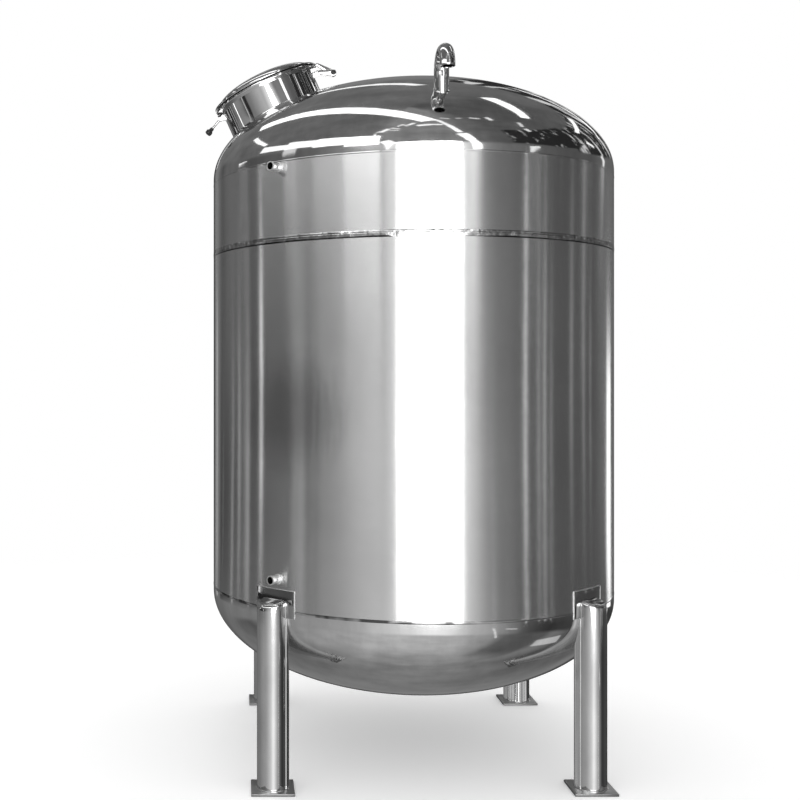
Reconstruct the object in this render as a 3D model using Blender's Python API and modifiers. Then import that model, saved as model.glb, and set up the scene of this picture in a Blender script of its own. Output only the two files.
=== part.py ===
"""Vertical stainless steel storage tank on four pipe legs.

A round shell of two rolled courses is closed by two dished heads and stands on four pipe
legs. The top head carries a hinged manway with one swing bolt, and a gooseneck vent. Two
threaded sockets sit in the shell.
Metres, +Z up, origin on the floor under the tank's axis. The front faces -Y.
"""

import math

import bmesh
import bpy
from mathutils import Matrix, Vector

# Driving dimensions of the vessel
SHELL_RADIUS = 0.900
SHELL_WALL = 0.005
LOWER_COURSE_BOTTOM = 0.725
LOWER_COURSE_HEIGHT = 1.500
UPPER_COURSE_HEIGHT = 0.317
HEAD_FLANGE = 0.025
HEAD_DEPTH = 0.432
SHELL_STEPS = 64
HEAD_RINGS = 8
GAP = 0.0003

# Driving dimensions of the legs
LEG_OFFSET = 0.645
LEG_RADIUS = 0.0635
LEG_WALL = 0.004
LEG_TOP = 0.764
LEG_TOP_SLOPE = 0.25
LEG_STEPS = 32
CAP_THICKNESS = 0.004
FOOT_SIDE = 0.175
FOOT_THICKNESS = 0.010
PAD_THICKNESS = 0.004
PAD_BOTTOM = 0.700
PAD_TOP = 0.810
PAD_HALF_ANGLE = math.radians(6.6)

# Driving dimensions of the manway, across and along its own axis
MANWAY_PITCH = 0.68 * SHELL_RADIUS
NECK_RADIUS = 0.225
NECK_WALL = 0.004
NECK_TOP = 0.098
RIM_RADIUS = 0.252
RIM_THICKNESS = 0.010
GASKET_RADIUS = 0.232
GASKET_THICKNESS = 0.005
COVER_FLANGE = 0.008
COVER_DOME_RADIUS = 0.230
COVER_DOME_HEIGHT = 0.054
COVER_SHEET = 0.003
MANWAY_STEPS = 48
DOME_RINGS = 7

# Driving dimensions of the manway's hinge
HINGE_REACH = 0.314
HINGE_HEIGHT = 0.060
HINGE_PIN_RADIUS = 0.006
HINGE_BOSS_RADIUS = 0.014
HINGE_ARM_HALF = 0.0065
HINGE_EAR_INNER = 0.0080
HINGE_EAR_OUTER = 0.0140
HINGE_HEAD_RADIUS = 0.0125
HINGE_HEAD_HEIGHT = 0.008

# Driving dimensions of the swing bolt that shuts the cover
BOLT_REACH = 0.246
BOLT_HEIGHT = 0.078
BOLT_ROD_RADIUS = 0.005
BOLT_LENGTH = 0.086
BOLT_EYE_RADIUS = 0.010
BOLT_EYE_HALF = 0.0065
BOLT_PIN_RADIUS = 0.004
BOLT_EAR_INNER = 0.0078
BOLT_EAR_OUTER = 0.0128
BOLT_NOTCH_HALF = 0.010
BOLT_NOTCH_DEPTH = 0.236
BOLT_HANG_ANGLE = math.radians(229.7)
KNOB_RADIUS = 0.015
KNOB_START = 0.056
KNOB_END = 0.094

# Driving dimensions of the vent
VENT_X = 0.024
VENT_Y = -0.735
VENT_RADIUS = 0.030
VENT_WALL = 0.003
VENT_BEND_RADIUS = 0.069
VENT_BEND_HEIGHT = 2.876
VENT_MOUTH_HEIGHT = 2.870
VENT_BEND_STEPS = 10

# Driving dimensions of the sockets
SOCKET_RADIUS = 0.019
SOCKET_BORE = 0.0135
SOCKET_LENGTH = 0.045
SOCKET_AZIMUTH = math.radians(-44.0)
UPPER_SOCKET_HEIGHT = 2.519
LOWER_SOCKET_HEIGHT = 0.851
PORT_STEPS = 24

# Heights that follow from the driving dimensions
GIRTH_SEAM = LOWER_COURSE_BOTTOM + LOWER_COURSE_HEIGHT
TOP_JOINT = GIRTH_SEAM + UPPER_COURSE_HEIGHT
TOP_TANGENT = TOP_JOINT + HEAD_FLANGE
BOTTOM_TANGENT = LOWER_COURSE_BOTTOM - HEAD_FLANGE
RIM_TOP = NECK_TOP + GAP + RIM_THICKNESS
GASKET_TOP = RIM_TOP + GAP + GASKET_THICKNESS
COVER_SEAT = GASKET_TOP + GAP
COVER_TOP = COVER_SEAT + COVER_FLANGE

STEEL_POLISHED = (0.60, 0.60, 0.61)
STEEL_SATIN = (0.55, 0.55, 0.56)
RUBBER_BLACK = (0.03, 0.03, 0.03)


def clear_scene():
    """Remove the objects of the start-up scene."""
    for item in list(bpy.data.objects):
        bpy.data.objects.remove(item, do_unlink=True)


def new_collection(name):
    """Make a collection in the scene."""
    group = bpy.data.collections.new(name)
    bpy.context.scene.collection.children.link(group)
    return group


def finish(name, colour, roughness, metallic=1.0):
    """Make a plain Principled material."""
    material = bpy.data.materials.new(name)
    material.use_nodes = True
    shader = material.node_tree.nodes["Principled BSDF"]
    shader.inputs["Base Color"].default_value = (*colour, 1.0)
    shader.inputs["Roughness"].default_value = roughness
    shader.inputs["Metallic"].default_value = metallic
    return material


def place(name, mesh, group, matrix=None, colour=STEEL_POLISHED, roughness=0.1, metallic=1.0):
    """Make an object of a mesh, with its own material, in a collection."""
    item = bpy.data.objects.new(name, mesh)
    group.objects.link(item)
    if matrix is not None:
        item.matrix_world = matrix
    if group is not CUTTERS:
        mesh.materials.append(finish(name, colour, roughness, metallic))
        mesh.shade_smooth()
        mesh.set_sharp_from_angle(angle=math.radians(30.0))
    else:
        item.hide_render = True
        item.display_type = "WIRE"
    return item


def evaluated_mesh(item):
    """Give the mesh of an object after its modifiers, and remove the object."""
    bpy.context.view_layer.update()
    graph = bpy.context.evaluated_depsgraph_get()
    mesh = bpy.data.meshes.new_from_object(item.evaluated_get(graph))
    data = item.data
    bpy.data.objects.remove(item, do_unlink=True)
    if isinstance(data, bpy.types.Curve):
        bpy.data.curves.remove(data)
    work = bmesh.new()
    work.from_mesh(mesh)
    bmesh.ops.remove_doubles(work, verts=work.verts, dist=0.00001)
    work.to_mesh(mesh)
    work.free()
    return mesh


def turned(profile, steps, closed=True):
    """Turn a profile of (radius, height) points about Z. It runs down its outer side."""
    mesh = bpy.data.meshes.new("profile")
    points = [(radius, 0.0, height) for radius, height in profile]
    edges = [(i, i + 1) for i in range(len(points) - 1)]
    if closed:
        edges.append((len(points) - 1, 0))
    mesh.from_pydata(points, edges, [])
    item = bpy.data.objects.new("profile", mesh)
    bpy.context.scene.collection.objects.link(item)
    screw = item.modifiers.new("turn", "SCREW")
    screw.axis = "Z"
    screw.angle = math.tau
    screw.steps = steps
    screw.render_steps = steps
    screw.use_merge_vertices = True
    screw.merge_threshold = 0.0001
    return evaluated_mesh(item)


def ring_profile(inner, outer, bottom, top):
    """Give the section of a plain ring or tube."""
    return [(outer, top), (outer, bottom), (inner, bottom), (inner, top)]


def plate(outline, depth):
    """Fill a flat outline in XY and give it a depth, half to each side."""
    curve = bpy.data.curves.new("outline", "CURVE")
    curve.dimensions = "2D"
    curve.fill_mode = "BOTH"
    curve.extrude = depth / 2
    spline = curve.splines.new("POLY")
    spline.points.add(len(outline) - 1)
    for point, (x, y) in zip(spline.points, outline):
        point.co = (x, y, 0.0, 1.0)
    spline.use_cyclic_u = True
    item = bpy.data.objects.new("outline", curve)
    bpy.context.scene.collection.objects.link(item)
    mesh = evaluated_mesh(item)
    work = bmesh.new()
    work.from_mesh(mesh)
    bmesh.ops.recalc_face_normals(work, faces=work.faces)
    work.to_mesh(mesh)
    work.free()
    return mesh


def box(low, high):
    """Give the mesh of a box between two corners."""
    mesh = bpy.data.meshes.new("box")
    low = Vector(low)
    high = Vector(high)
    work = bmesh.new()
    size = Matrix.Diagonal((*(high - low), 1.0))
    bmesh.ops.create_cube(work, size=1.0, matrix=Matrix.Translation((low + high) / 2) @ size)
    work.to_mesh(mesh)
    work.free()
    return mesh


def rod(radius, bottom, top, steps):
    """Give the mesh of a solid round bar along Z."""
    mesh = bpy.data.meshes.new("rod")
    work = bmesh.new()
    middle = Matrix.Translation((0.0, 0.0, (bottom + top) / 2))
    bmesh.ops.create_cone(
        work, cap_ends=True, segments=steps, radius1=radius, radius2=radius,
        depth=top - bottom, matrix=middle,
    )
    work.to_mesh(mesh)
    work.free()
    return mesh


def boolean(item, cutter, operation="DIFFERENCE"):
    """Cut an object with a cutter, or join or intersect the two."""
    change = item.modifiers.new(cutter.name, "BOOLEAN")
    change.operation = operation
    change.solver = "EXACT"
    change.object = cutter


def polygon_radius(radius, angle):
    """Give the radius, at an angle, of the many-sided ring that stands for a circle."""
    step = math.tau / SHELL_STEPS
    inside = angle % step - step / 2
    return radius * math.cos(step / 2) / math.cos(inside)


def arc_points(radius, start, end):
    """Follow the many-sided ring from one angle to another."""
    step = math.tau / SHELL_STEPS
    first = math.floor(start / step + 0.001) + 1
    last = math.ceil(end / step - 0.001) - 1
    angles = [start] + [i * step for i in range(first, last + 1)] + [end]
    points = []
    for angle in angles:
        reach = polygon_radius(radius, angle)
        points.append((reach * math.cos(angle), reach * math.sin(angle)))
    return points


def arc_plate(inner, outer, start, end, bottom, top):
    """Make a piece of a round wall."""
    outline = arc_points(outer, start, end) + arc_points(inner, start, end)[::-1]
    mesh = plate(outline, top - bottom)
    mesh.transform(Matrix.Translation((0.0, 0.0, (bottom + top) / 2)))
    return mesh


def front_direction(azimuth):
    """Give the level direction out of the tank, counted from the front towards +X."""
    return Vector((math.sin(azimuth), -math.cos(azimuth), 0.0))


def axis_matrix(origin, direction):
    """Place Z along a direction, from an origin."""
    turn = Vector(direction).to_track_quat("Z", "Y").to_matrix().to_4x4()
    return Matrix.Translation(origin) @ turn


# The head's outer and inner curve, from its straight flange to its crown

def head_curve(radius, depth):
    """Give a quarter ellipse of (radius, rise) points, from the flange to the crown."""
    points = []
    for i in range(HEAD_RINGS + 1):
        angle = i / HEAD_RINGS * math.pi / 2
        points.append((radius * math.cos(angle), depth * math.sin(angle)))
    points[-1] = (0.0, depth)
    return points


def top_head_mesh():
    """Turn the top head: down its outside, then up its inside."""
    outer = head_curve(SHELL_RADIUS, HEAD_DEPTH)
    inner = head_curve(SHELL_RADIUS - SHELL_WALL, HEAD_DEPTH - SHELL_WALL)
    profile = [(radius, TOP_TANGENT + rise) for radius, rise in outer[::-1]]
    profile += [(SHELL_RADIUS, TOP_JOINT), (SHELL_RADIUS - SHELL_WALL, TOP_JOINT)]
    profile += [(radius, TOP_TANGENT + rise) for radius, rise in inner]
    return turned(profile, SHELL_STEPS, closed=False)


def bottom_head_mesh():
    """Turn the bottom head: up its inside, then down its outside."""
    outer = head_curve(SHELL_RADIUS, HEAD_DEPTH)
    inner = head_curve(SHELL_RADIUS - SHELL_WALL, HEAD_DEPTH - SHELL_WALL)
    rim = LOWER_COURSE_BOTTOM - GAP
    profile = [(radius, BOTTOM_TANGENT - rise) for radius, rise in inner[::-1]]
    profile += [(SHELL_RADIUS - SHELL_WALL, rim), (SHELL_RADIUS, rim)]
    profile += [(radius, BOTTOM_TANGENT - rise) for radius, rise in outer]
    return turned(profile, SHELL_STEPS, closed=False)


def top_head_body(grow):
    """Turn a solid of the top head's outside, a little larger, to cut what stands on it."""
    outer = head_curve(SHELL_RADIUS + grow, HEAD_DEPTH + grow)
    profile = [(radius, TOP_TANGENT + rise) for radius, rise in outer[::-1]]
    profile += [(SHELL_RADIUS + grow, GIRTH_SEAM), (0.0, GIRTH_SEAM)]
    return turned(profile, SHELL_STEPS, closed=False)


def bottom_head_body(grow, wall_radius):
    """Turn a solid of the bottom head and the wall above it, to cut the legs."""
    outer = head_curve(SHELL_RADIUS + grow, HEAD_DEPTH + grow)
    profile = [(0.0, GIRTH_SEAM), (wall_radius, GIRTH_SEAM), (wall_radius, PAD_BOTTOM - GAP)]
    profile += [(radius, PAD_BOTTOM - GAP - rise) for radius, rise in outer]
    return turned(profile, SHELL_STEPS, closed=False)


def make_courses():
    """Roll the two courses of the shell, each as four quarters."""
    quarters = {"front_right": 3, "rear_right": 0, "rear_left": 1, "front_left": 2}
    slit = GAP / 2 / SHELL_RADIUS
    inner = SHELL_RADIUS - SHELL_WALL
    for name, turn in quarters.items():
        start = turn * math.pi / 2 + slit
        end = (turn + 1) * math.pi / 2 - slit
        lower = arc_plate(inner, SHELL_RADIUS, start, end, LOWER_COURSE_BOTTOM, GIRTH_SEAM - GAP)
        upper = arc_plate(inner, SHELL_RADIUS, start, end, GIRTH_SEAM, TOP_JOINT - GAP)
        lower_item = place("lower_course_" + name, lower, PARTS, None, STEEL_SATIN, 0.3)
        upper_item = place("upper_course_" + name, upper, PARTS, None, STEEL_SATIN, 0.3)
        if name == "front_left":
            for item, height in ((lower_item, LOWER_SOCKET_HEIGHT), (upper_item, UPPER_SOCKET_HEIGHT)):
                hole = rod(SOCKET_RADIUS + GAP, -0.1, 0.1, PORT_STEPS)
                matrix = socket_matrix(height)
                boolean(item, place("hole_" + item.name, hole, CUTTERS, matrix))


def socket_matrix(height):
    """Place a socket's axis on the shell, pointing out."""
    out = front_direction(SOCKET_AZIMUTH)
    origin = out * SHELL_RADIUS + Vector((0.0, 0.0, height))
    return axis_matrix(origin, out)


def make_sockets():
    """Set a threaded socket through each course above the front left leg."""
    heights = {"upper_socket": UPPER_SOCKET_HEIGHT, "lower_socket": LOWER_SOCKET_HEIGHT}
    for name, height in heights.items():
        section = ring_profile(SOCKET_BORE, SOCKET_RADIUS, -SHELL_WALL, SOCKET_LENGTH)
        place(name, turned(section, PORT_STEPS), PARTS, socket_matrix(height))


def make_heads():
    """Turn the two heads and cut the holes of the top one."""
    top = place("top_head", top_head_mesh(), PARTS)
    neck = rod(NECK_RADIUS - NECK_WALL, -0.3, 0.3, MANWAY_STEPS)
    boolean(top, place("hole_manway", neck, CUTTERS, MANWAY_MATRIX))
    riser = rod(VENT_RADIUS - VENT_WALL, 2.6, 3.2, PORT_STEPS)
    riser.transform(Matrix.Translation((VENT_X, VENT_Y, 0.0)))
    boolean(top, place("hole_vent", riser, CUTTERS))
    place("bottom_head", bottom_head_mesh(), PARTS)


def make_vent():
    """Bend the gooseneck vent from pipe and cope it to the top head."""
    points = [(0.0, 2.70), (0.0, VENT_BEND_HEIGHT)]
    for i in range(1, VENT_BEND_STEPS + 1):
        angle = math.pi * i / VENT_BEND_STEPS
        forward = -VENT_BEND_RADIUS * (1.0 - math.cos(angle))
        points.append((forward, VENT_BEND_HEIGHT + VENT_BEND_RADIUS * math.sin(angle)))
    points.append((-2 * VENT_BEND_RADIUS, VENT_MOUTH_HEIGHT - 0.01))
    curve = bpy.data.curves.new("vent_path", "CURVE")
    curve.dimensions = "3D"
    curve.bevel_depth = VENT_RADIUS
    curve.bevel_resolution = 6
    spline = curve.splines.new("POLY")
    spline.points.add(len(points) - 1)
    for point, (forward, height) in zip(spline.points, points):
        point.co = (VENT_X, VENT_Y + forward, height, 1.0)
    path = bpy.data.objects.new("vent_path", curve)
    bpy.context.scene.collection.objects.link(path)
    mesh = evaluated_mesh(path)
    work = bmesh.new()
    work.from_mesh(mesh)
    bmesh.ops.recalc_face_normals(work, faces=work.faces)
    work.to_mesh(mesh)
    work.free()
    vent = place("vent_gooseneck", mesh, PARTS)
    wall = vent.modifiers.new("wall", "SOLIDIFY")
    wall.thickness = VENT_WALL
    wall.offset = -1.0
    boolean(vent, place("cope_vent", top_head_body(GAP), CUTTERS))
    end = box((-0.1, -1.1, 2.80), (0.1, VENT_Y - VENT_BEND_RADIUS, VENT_MOUTH_HEIGHT))
    boolean(vent, place("mouth_of_vent", end, CUTTERS))


def make_manway():
    """Turn the neck, rim, gasket and domed cover about the manway's axis."""
    bore = NECK_RADIUS - NECK_WALL
    neck_section = ring_profile(bore, NECK_RADIUS, -0.120, NECK_TOP)
    neck = place("manway_neck", turned(neck_section, MANWAY_STEPS), PARTS, MANWAY_MATRIX)
    boolean(neck, place("cope_neck", top_head_body(GAP), CUTTERS))

    notch = box((-0.30, -BOLT_NOTCH_HALF, 0.05), (-BOLT_NOTCH_DEPTH, BOLT_NOTCH_HALF, 0.20))
    notch_item = place("notch", notch, CUTTERS, MANWAY_MATRIX)
    rim_section = ring_profile(bore, RIM_RADIUS, NECK_TOP + GAP, RIM_TOP)
    rim = place("manway_rim", turned(rim_section, MANWAY_STEPS), PARTS, MANWAY_MATRIX)
    boolean(rim, notch_item)

    gasket_section = ring_profile(bore, GASKET_RADIUS, RIM_TOP + GAP, GASKET_TOP)
    place(
        "manway_gasket", turned(gasket_section, MANWAY_STEPS), PARTS, MANWAY_MATRIX,
        RUBBER_BLACK, 0.7, 0.0,
    )

    profile = [(0.0, COVER_TOP + COVER_DOME_HEIGHT)]
    for i in range(1, DOME_RINGS + 1):
        angle = math.pi / 2 * i / DOME_RINGS
        rise = COVER_DOME_HEIGHT * math.cos(angle)
        profile.append((COVER_DOME_RADIUS * math.sin(angle), COVER_TOP + rise))
    profile += [(RIM_RADIUS, COVER_TOP), (RIM_RADIUS, COVER_SEAT)]
    inner_radius = COVER_DOME_RADIUS - COVER_SHEET
    inner_height = COVER_DOME_HEIGHT - COVER_SHEET + COVER_FLANGE
    for i in range(DOME_RINGS + 1):
        angle = math.pi / 2 * i / DOME_RINGS
        rise = inner_height * math.sin(angle)
        profile.append((inner_radius * math.cos(angle), COVER_SEAT + rise))
    profile[-1] = (0.0, COVER_SEAT + inner_height)
    cover = place("manway_cover", turned(profile, MANWAY_STEPS, False), PARTS, MANWAY_MATRIX)
    boolean(cover, notch_item)


def boss_points(reach, height, radius, start, end, count):
    """Give the round end of a lug, in degrees about its pin."""
    points = []
    for i in range(count + 1):
        angle = math.radians(start + (end - start) * i / count)
        points.append((reach + radius * math.cos(angle), height + radius * math.sin(angle)))
    return points


def side_plate(outline, low, high):
    """Stand an outline of (reach, height) points up, between two distances across it."""
    mesh = plate(outline, high - low)
    mesh.transform(Matrix.Translation((0.0, 0.0, (low + high) / 2)))
    mesh.transform(Matrix.Rotation(math.pi / 2, 4, "X"))
    return mesh


def cross_rod(radius, reach, height, half, steps):
    """Give a round bar that lies across the manway, at a reach and height."""
    mesh = rod(radius, -half, half, steps)
    mesh.transform(Matrix.Rotation(math.pi / 2, 4, "X"))
    mesh.transform(Matrix.Translation((reach, 0.0, height)))
    return mesh


def make_hinge():
    """Make the hinge: two ears on the neck, an arm on the cover and the pin."""
    root = NECK_RADIUS + GAP
    ear = [(root, 0.078), (0.256, 0.078)]
    ear += boss_points(HINGE_REACH, HINGE_HEIGHT, HINGE_BOSS_RADIUS, -125.0, 60.0, 10)
    ear += [(0.262, NECK_TOP - 0.002), (root, NECK_TOP - 0.002)]
    ear_hole = cross_rod(HINGE_PIN_RADIUS + GAP, HINGE_REACH, HINGE_HEIGHT, 0.05, 24)
    ear_cutter = place("hole_hinge_ears", ear_hole, CUTTERS, MANWAY_MATRIX)
    sides = {"front": (HINGE_EAR_INNER, HINGE_EAR_OUTER), "rear": (-HINGE_EAR_OUTER, -HINGE_EAR_INNER)}
    for side, (low, high) in sides.items():
        mesh = side_plate(ear, low, high)
        boolean(place("hinge_ear_" + side, mesh, PARTS, MANWAY_MATRIX), ear_cutter)

    seat = COVER_TOP + GAP
    arm = [(0.232, seat), (0.258, seat)]
    arm += boss_points(HINGE_REACH, HINGE_HEIGHT, HINGE_BOSS_RADIUS, -142.0, 38.0, 10)
    arm += [(0.264, seat + 0.010), (0.232, seat + 0.010)]
    arm_hole = cross_rod(HINGE_PIN_RADIUS + GAP, HINGE_REACH, HINGE_HEIGHT, 0.05, 24)
    arm_item = place(
        "hinge_arm", side_plate(arm, -HINGE_ARM_HALF, HINGE_ARM_HALF), PARTS, MANWAY_MATRIX
    )
    boolean(arm_item, place("hole_hinge_arm", arm_hole, CUTTERS, MANWAY_MATRIX))

    reach = HINGE_EAR_OUTER + GAP + HINGE_HEAD_HEIGHT
    pin = cross_rod(HINGE_PIN_RADIUS, HINGE_REACH, HINGE_HEIGHT, reach, 24)
    pin_item = place("hinge_pin", pin, PARTS, MANWAY_MATRIX, (0.05, 0.05, 0.05), 0.4)
    for side in (-1.0, 1.0):
        head = rod(HINGE_HEAD_RADIUS, -HINGE_HEAD_HEIGHT / 2, HINGE_HEAD_HEIGHT / 2, 6)
        head.transform(Matrix.Rotation(math.pi / 2, 4, "X"))
        across = side * (HINGE_EAR_OUTER + GAP + HINGE_HEAD_HEIGHT / 2)
        head.transform(Matrix.Translation((HINGE_REACH, across, HINGE_HEIGHT)))
        side_name = "hinge_head_front" if side < 0 else "hinge_head_rear"
        boolean(pin_item, place(side_name, head, CUTTERS, MANWAY_MATRIX), "UNION")


def make_swing_bolt():
    """Make the swing bolt: two ears under the rim, a pin, the eye bolt and its knob."""
    root = -(NECK_RADIUS + GAP)
    ear = [(root, 0.062), (root, 0.094)]
    ear += boss_points(-BOLT_REACH, BOLT_HEIGHT, 0.009, 60.0, 300.0, 10)
    hole = cross_rod(BOLT_PIN_RADIUS + GAP, -BOLT_REACH, BOLT_HEIGHT, 0.05, 16)
    hole_item = place("hole_bolt_ears", hole, CUTTERS, MANWAY_MATRIX)
    sides = {"front": (BOLT_EAR_INNER, BOLT_EAR_OUTER), "rear": (-BOLT_EAR_OUTER, -BOLT_EAR_INNER)}
    for side, (low, high) in sides.items():
        mesh = side_plate(ear, low, high)
        boolean(place("bolt_ear_" + side, mesh, PARTS, MANWAY_MATRIX), hole_item)

    pin = cross_rod(BOLT_PIN_RADIUS, -BOLT_REACH, BOLT_HEIGHT, BOLT_EAR_OUTER + 0.004, 16)
    place("bolt_pin", pin, PARTS, MANWAY_MATRIX)

    pivot = MANWAY_MATRIX @ Vector((-BOLT_REACH, 0.0, BOLT_HEIGHT))
    hang = Vector((math.cos(BOLT_HANG_ANGLE), 0.0, math.sin(BOLT_HANG_ANGLE)))
    matrix = axis_matrix(pivot, hang)
    eye = rod(BOLT_EYE_RADIUS, -BOLT_EYE_HALF, BOLT_EYE_HALF, 24)
    upright = Matrix.Translation(pivot) @ Matrix.Rotation(math.pi / 2, 4, "X")
    bolt = place("swing_bolt", eye, PARTS, upright)
    stem = rod(BOLT_ROD_RADIUS, 0.004, BOLT_LENGTH, 12)
    boolean(bolt, place("bolt_stem", stem, CUTTERS, matrix), "UNION")
    eye_hole = rod(BOLT_PIN_RADIUS + GAP, -0.05, 0.05, 16)
    boolean(bolt, place("hole_eye", eye_hole, CUTTERS, upright))

    section = [
        (0.0, KNOB_END),
        (KNOB_RADIUS * 0.75, KNOB_END - 0.001),
        (KNOB_RADIUS, KNOB_END - 0.006),
        (KNOB_RADIUS, KNOB_END - 0.018),
        (0.0095, KNOB_END - 0.024),
        (0.0095, KNOB_START),
        (BOLT_ROD_RADIUS + GAP, KNOB_START),
        (BOLT_ROD_RADIUS + GAP, BOLT_LENGTH + GAP),
        (0.0, BOLT_LENGTH + GAP),
    ]
    knob = turned(section, 20, closed=False)
    place("swing_bolt_knob", knob, PARTS, matrix, (0.02, 0.02, 0.02), 0.5, 0.0)


def leg_half_space(x_side, y_side, bottom):
    """Give a block above the plane that ends a leg, which falls away from the tank."""
    mesh = box((-0.2, -0.2, 0.0), (0.2, 0.2, 0.4))
    fall = LEG_TOP_SLOPE / math.sqrt(2.0)
    for corner in mesh.vertices:
        if corner.co.z < 0.1:
            corner.co.z = -(corner.co.x * x_side + corner.co.y * y_side) * fall
    centre = (x_side * LEG_OFFSET, y_side * LEG_OFFSET, bottom)
    mesh.transform(Matrix.Translation(centre))
    return mesh


def make_legs():
    """Make each leg of pipe, with its pad, sloped cap and foot plate."""
    wall = bottom_head_body(GAP, SHELL_RADIUS + PAD_THICKNESS + 2 * GAP)
    wall_item = place("cope_legs", wall, CUTTERS)
    corners = {
        "front_left": (-1, -1),
        "front_right": (1, -1),
        "rear_left": (-1, 1),
        "rear_right": (1, 1),
    }
    for name, (x_side, y_side) in corners.items():
        centre = Matrix.Translation((x_side * LEG_OFFSET, y_side * LEG_OFFSET, 0.0))
        foot = box((-FOOT_SIDE / 2, -FOOT_SIDE / 2, 0.0), (FOOT_SIDE / 2, FOOT_SIDE / 2, FOOT_THICKNESS))
        place("foot_plate_" + name, foot, PARTS, centre)

        middle = math.atan2(y_side, x_side) % math.tau
        inner = SHELL_RADIUS + GAP
        pad = arc_plate(
            inner, inner + PAD_THICKNESS, middle - PAD_HALF_ANGLE, middle + PAD_HALF_ANGLE,
            PAD_BOTTOM, PAD_TOP,
        )
        place("leg_pad_" + name, pad, PARTS)

        section = ring_profile(LEG_RADIUS - LEG_WALL, LEG_RADIUS, FOOT_THICKNESS + GAP, PAD_TOP + 0.05)
        leg = place("leg_" + name, turned(section, LEG_STEPS), PARTS, centre)
        above = leg_half_space(x_side, y_side, LEG_TOP)
        boolean(leg, place("top_of_" + leg.name, above, CUTTERS))
        boolean(leg, wall_item)

        disc = rod(LEG_RADIUS, LEG_TOP - 0.06, LEG_TOP + 0.08, LEG_STEPS)
        cap = place("leg_cap_" + name, disc, PARTS, centre)
        slab = leg_half_space(x_side, y_side, LEG_TOP + GAP)
        for corner in slab.vertices:
            if corner.co.z > LEG_TOP + 0.3:
                corner.co.z = LEG_TOP + GAP + CAP_THICKNESS
                away = corner.co.x * x_side + corner.co.y * y_side - 2 * LEG_OFFSET
                corner.co.z -= away * LEG_TOP_SLOPE / math.sqrt(2.0)
        boolean(cap, place("slab_of_" + cap.name, slab, CUTTERS), "INTERSECT")
        boolean(cap, wall_item)


clear_scene()
PARTS = new_collection("storage_tank")
CUTTERS = new_collection("cutters")

HEAD_RISE = HEAD_DEPTH * math.sqrt(1.0 - (MANWAY_PITCH / SHELL_RADIUS) ** 2)
MANWAY_ORIGIN = Vector((-MANWAY_PITCH, 0.0, TOP_TANGENT + HEAD_RISE))
MANWAY_TILT = math.atan2(MANWAY_PITCH / SHELL_RADIUS**2, HEAD_RISE / HEAD_DEPTH**2)
MANWAY_MATRIX = Matrix.Translation(MANWAY_ORIGIN) @ Matrix.Rotation(-MANWAY_TILT, 4, "Y")

make_courses()
make_sockets()
make_heads()
make_vent()
make_manway()
make_hinge()
make_swing_bolt()
make_legs()
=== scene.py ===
import math

import bpy
from mathutils import Matrix, Vector


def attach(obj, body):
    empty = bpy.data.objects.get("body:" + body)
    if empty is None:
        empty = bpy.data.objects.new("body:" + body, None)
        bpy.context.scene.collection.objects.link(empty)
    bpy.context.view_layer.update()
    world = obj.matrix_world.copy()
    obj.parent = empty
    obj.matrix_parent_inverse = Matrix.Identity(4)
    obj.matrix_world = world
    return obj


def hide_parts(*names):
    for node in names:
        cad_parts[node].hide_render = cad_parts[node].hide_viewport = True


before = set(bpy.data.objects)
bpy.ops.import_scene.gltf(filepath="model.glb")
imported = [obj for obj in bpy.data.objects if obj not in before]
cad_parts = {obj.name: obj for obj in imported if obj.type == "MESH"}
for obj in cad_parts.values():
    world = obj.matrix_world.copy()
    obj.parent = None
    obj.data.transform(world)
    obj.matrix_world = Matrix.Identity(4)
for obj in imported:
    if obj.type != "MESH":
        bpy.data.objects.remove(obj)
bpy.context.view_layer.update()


# The camera stands level at eye height, a little left of the tank's middle. It is shifted
# instead of turned, so that upright lines stay upright.
bpy.ops.object.camera_add(location=(-0.767, -5.400, 1.678), rotation=(math.pi / 2, 0.0, 0.0))
camera = bpy.context.object
camera.name = "camera"
camera.data.sensor_width = 36.0
camera.data.lens = 52.81
camera.data.shift_x = 0.1969
camera.data.shift_y = -0.0313
camera.data.dof.use_dof = False
bpy.context.scene.camera = camera
bpy.context.scene.view_settings.view_transform = "Standard"


# Foot plates: four squares cut from 10 mm stainless plate, with their edges dressed, one
# welded flat under each leg. Their polish is duller than that of the legs.
FOOT_SIDE = 0.175
FOOT_THICKNESS = 0.010
FOOT_CORNER = 0.002
DULL_BELOW = FOOT_THICKNESS - 0.0004
LEG_OFFSET = 0.645
LEG_CORNERS = {
    "front_left": (-1.0, -1.0),
    "front_right": (1.0, -1.0),
    "rear_left": (-1.0, 1.0),
    "rear_right": (1.0, 1.0),
}
POLISHED_COLOUR = (0.64, 0.64, 0.645)


class Reading:
    """The output of a node, so that shader maths is written as plain sums."""

    def __init__(self, finish, socket):
        self.finish = finish
        self.socket = socket

    def maths(self, operation, first, second):
        return self.finish.node("ShaderNodeMath", {"operation": operation}, {0: first, 1: second})

    def __add__(self, other):
        return self.maths("ADD", self, other)

    def __radd__(self, other):
        return self.maths("ADD", other, self)

    def __sub__(self, other):
        return self.maths("SUBTRACT", self, other)

    def __rsub__(self, other):
        return self.maths("SUBTRACT", other, self)

    def __mul__(self, other):
        return self.maths("MULTIPLY", self, other)

    def __rmul__(self, other):
        return self.maths("MULTIPLY", other, self)


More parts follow.
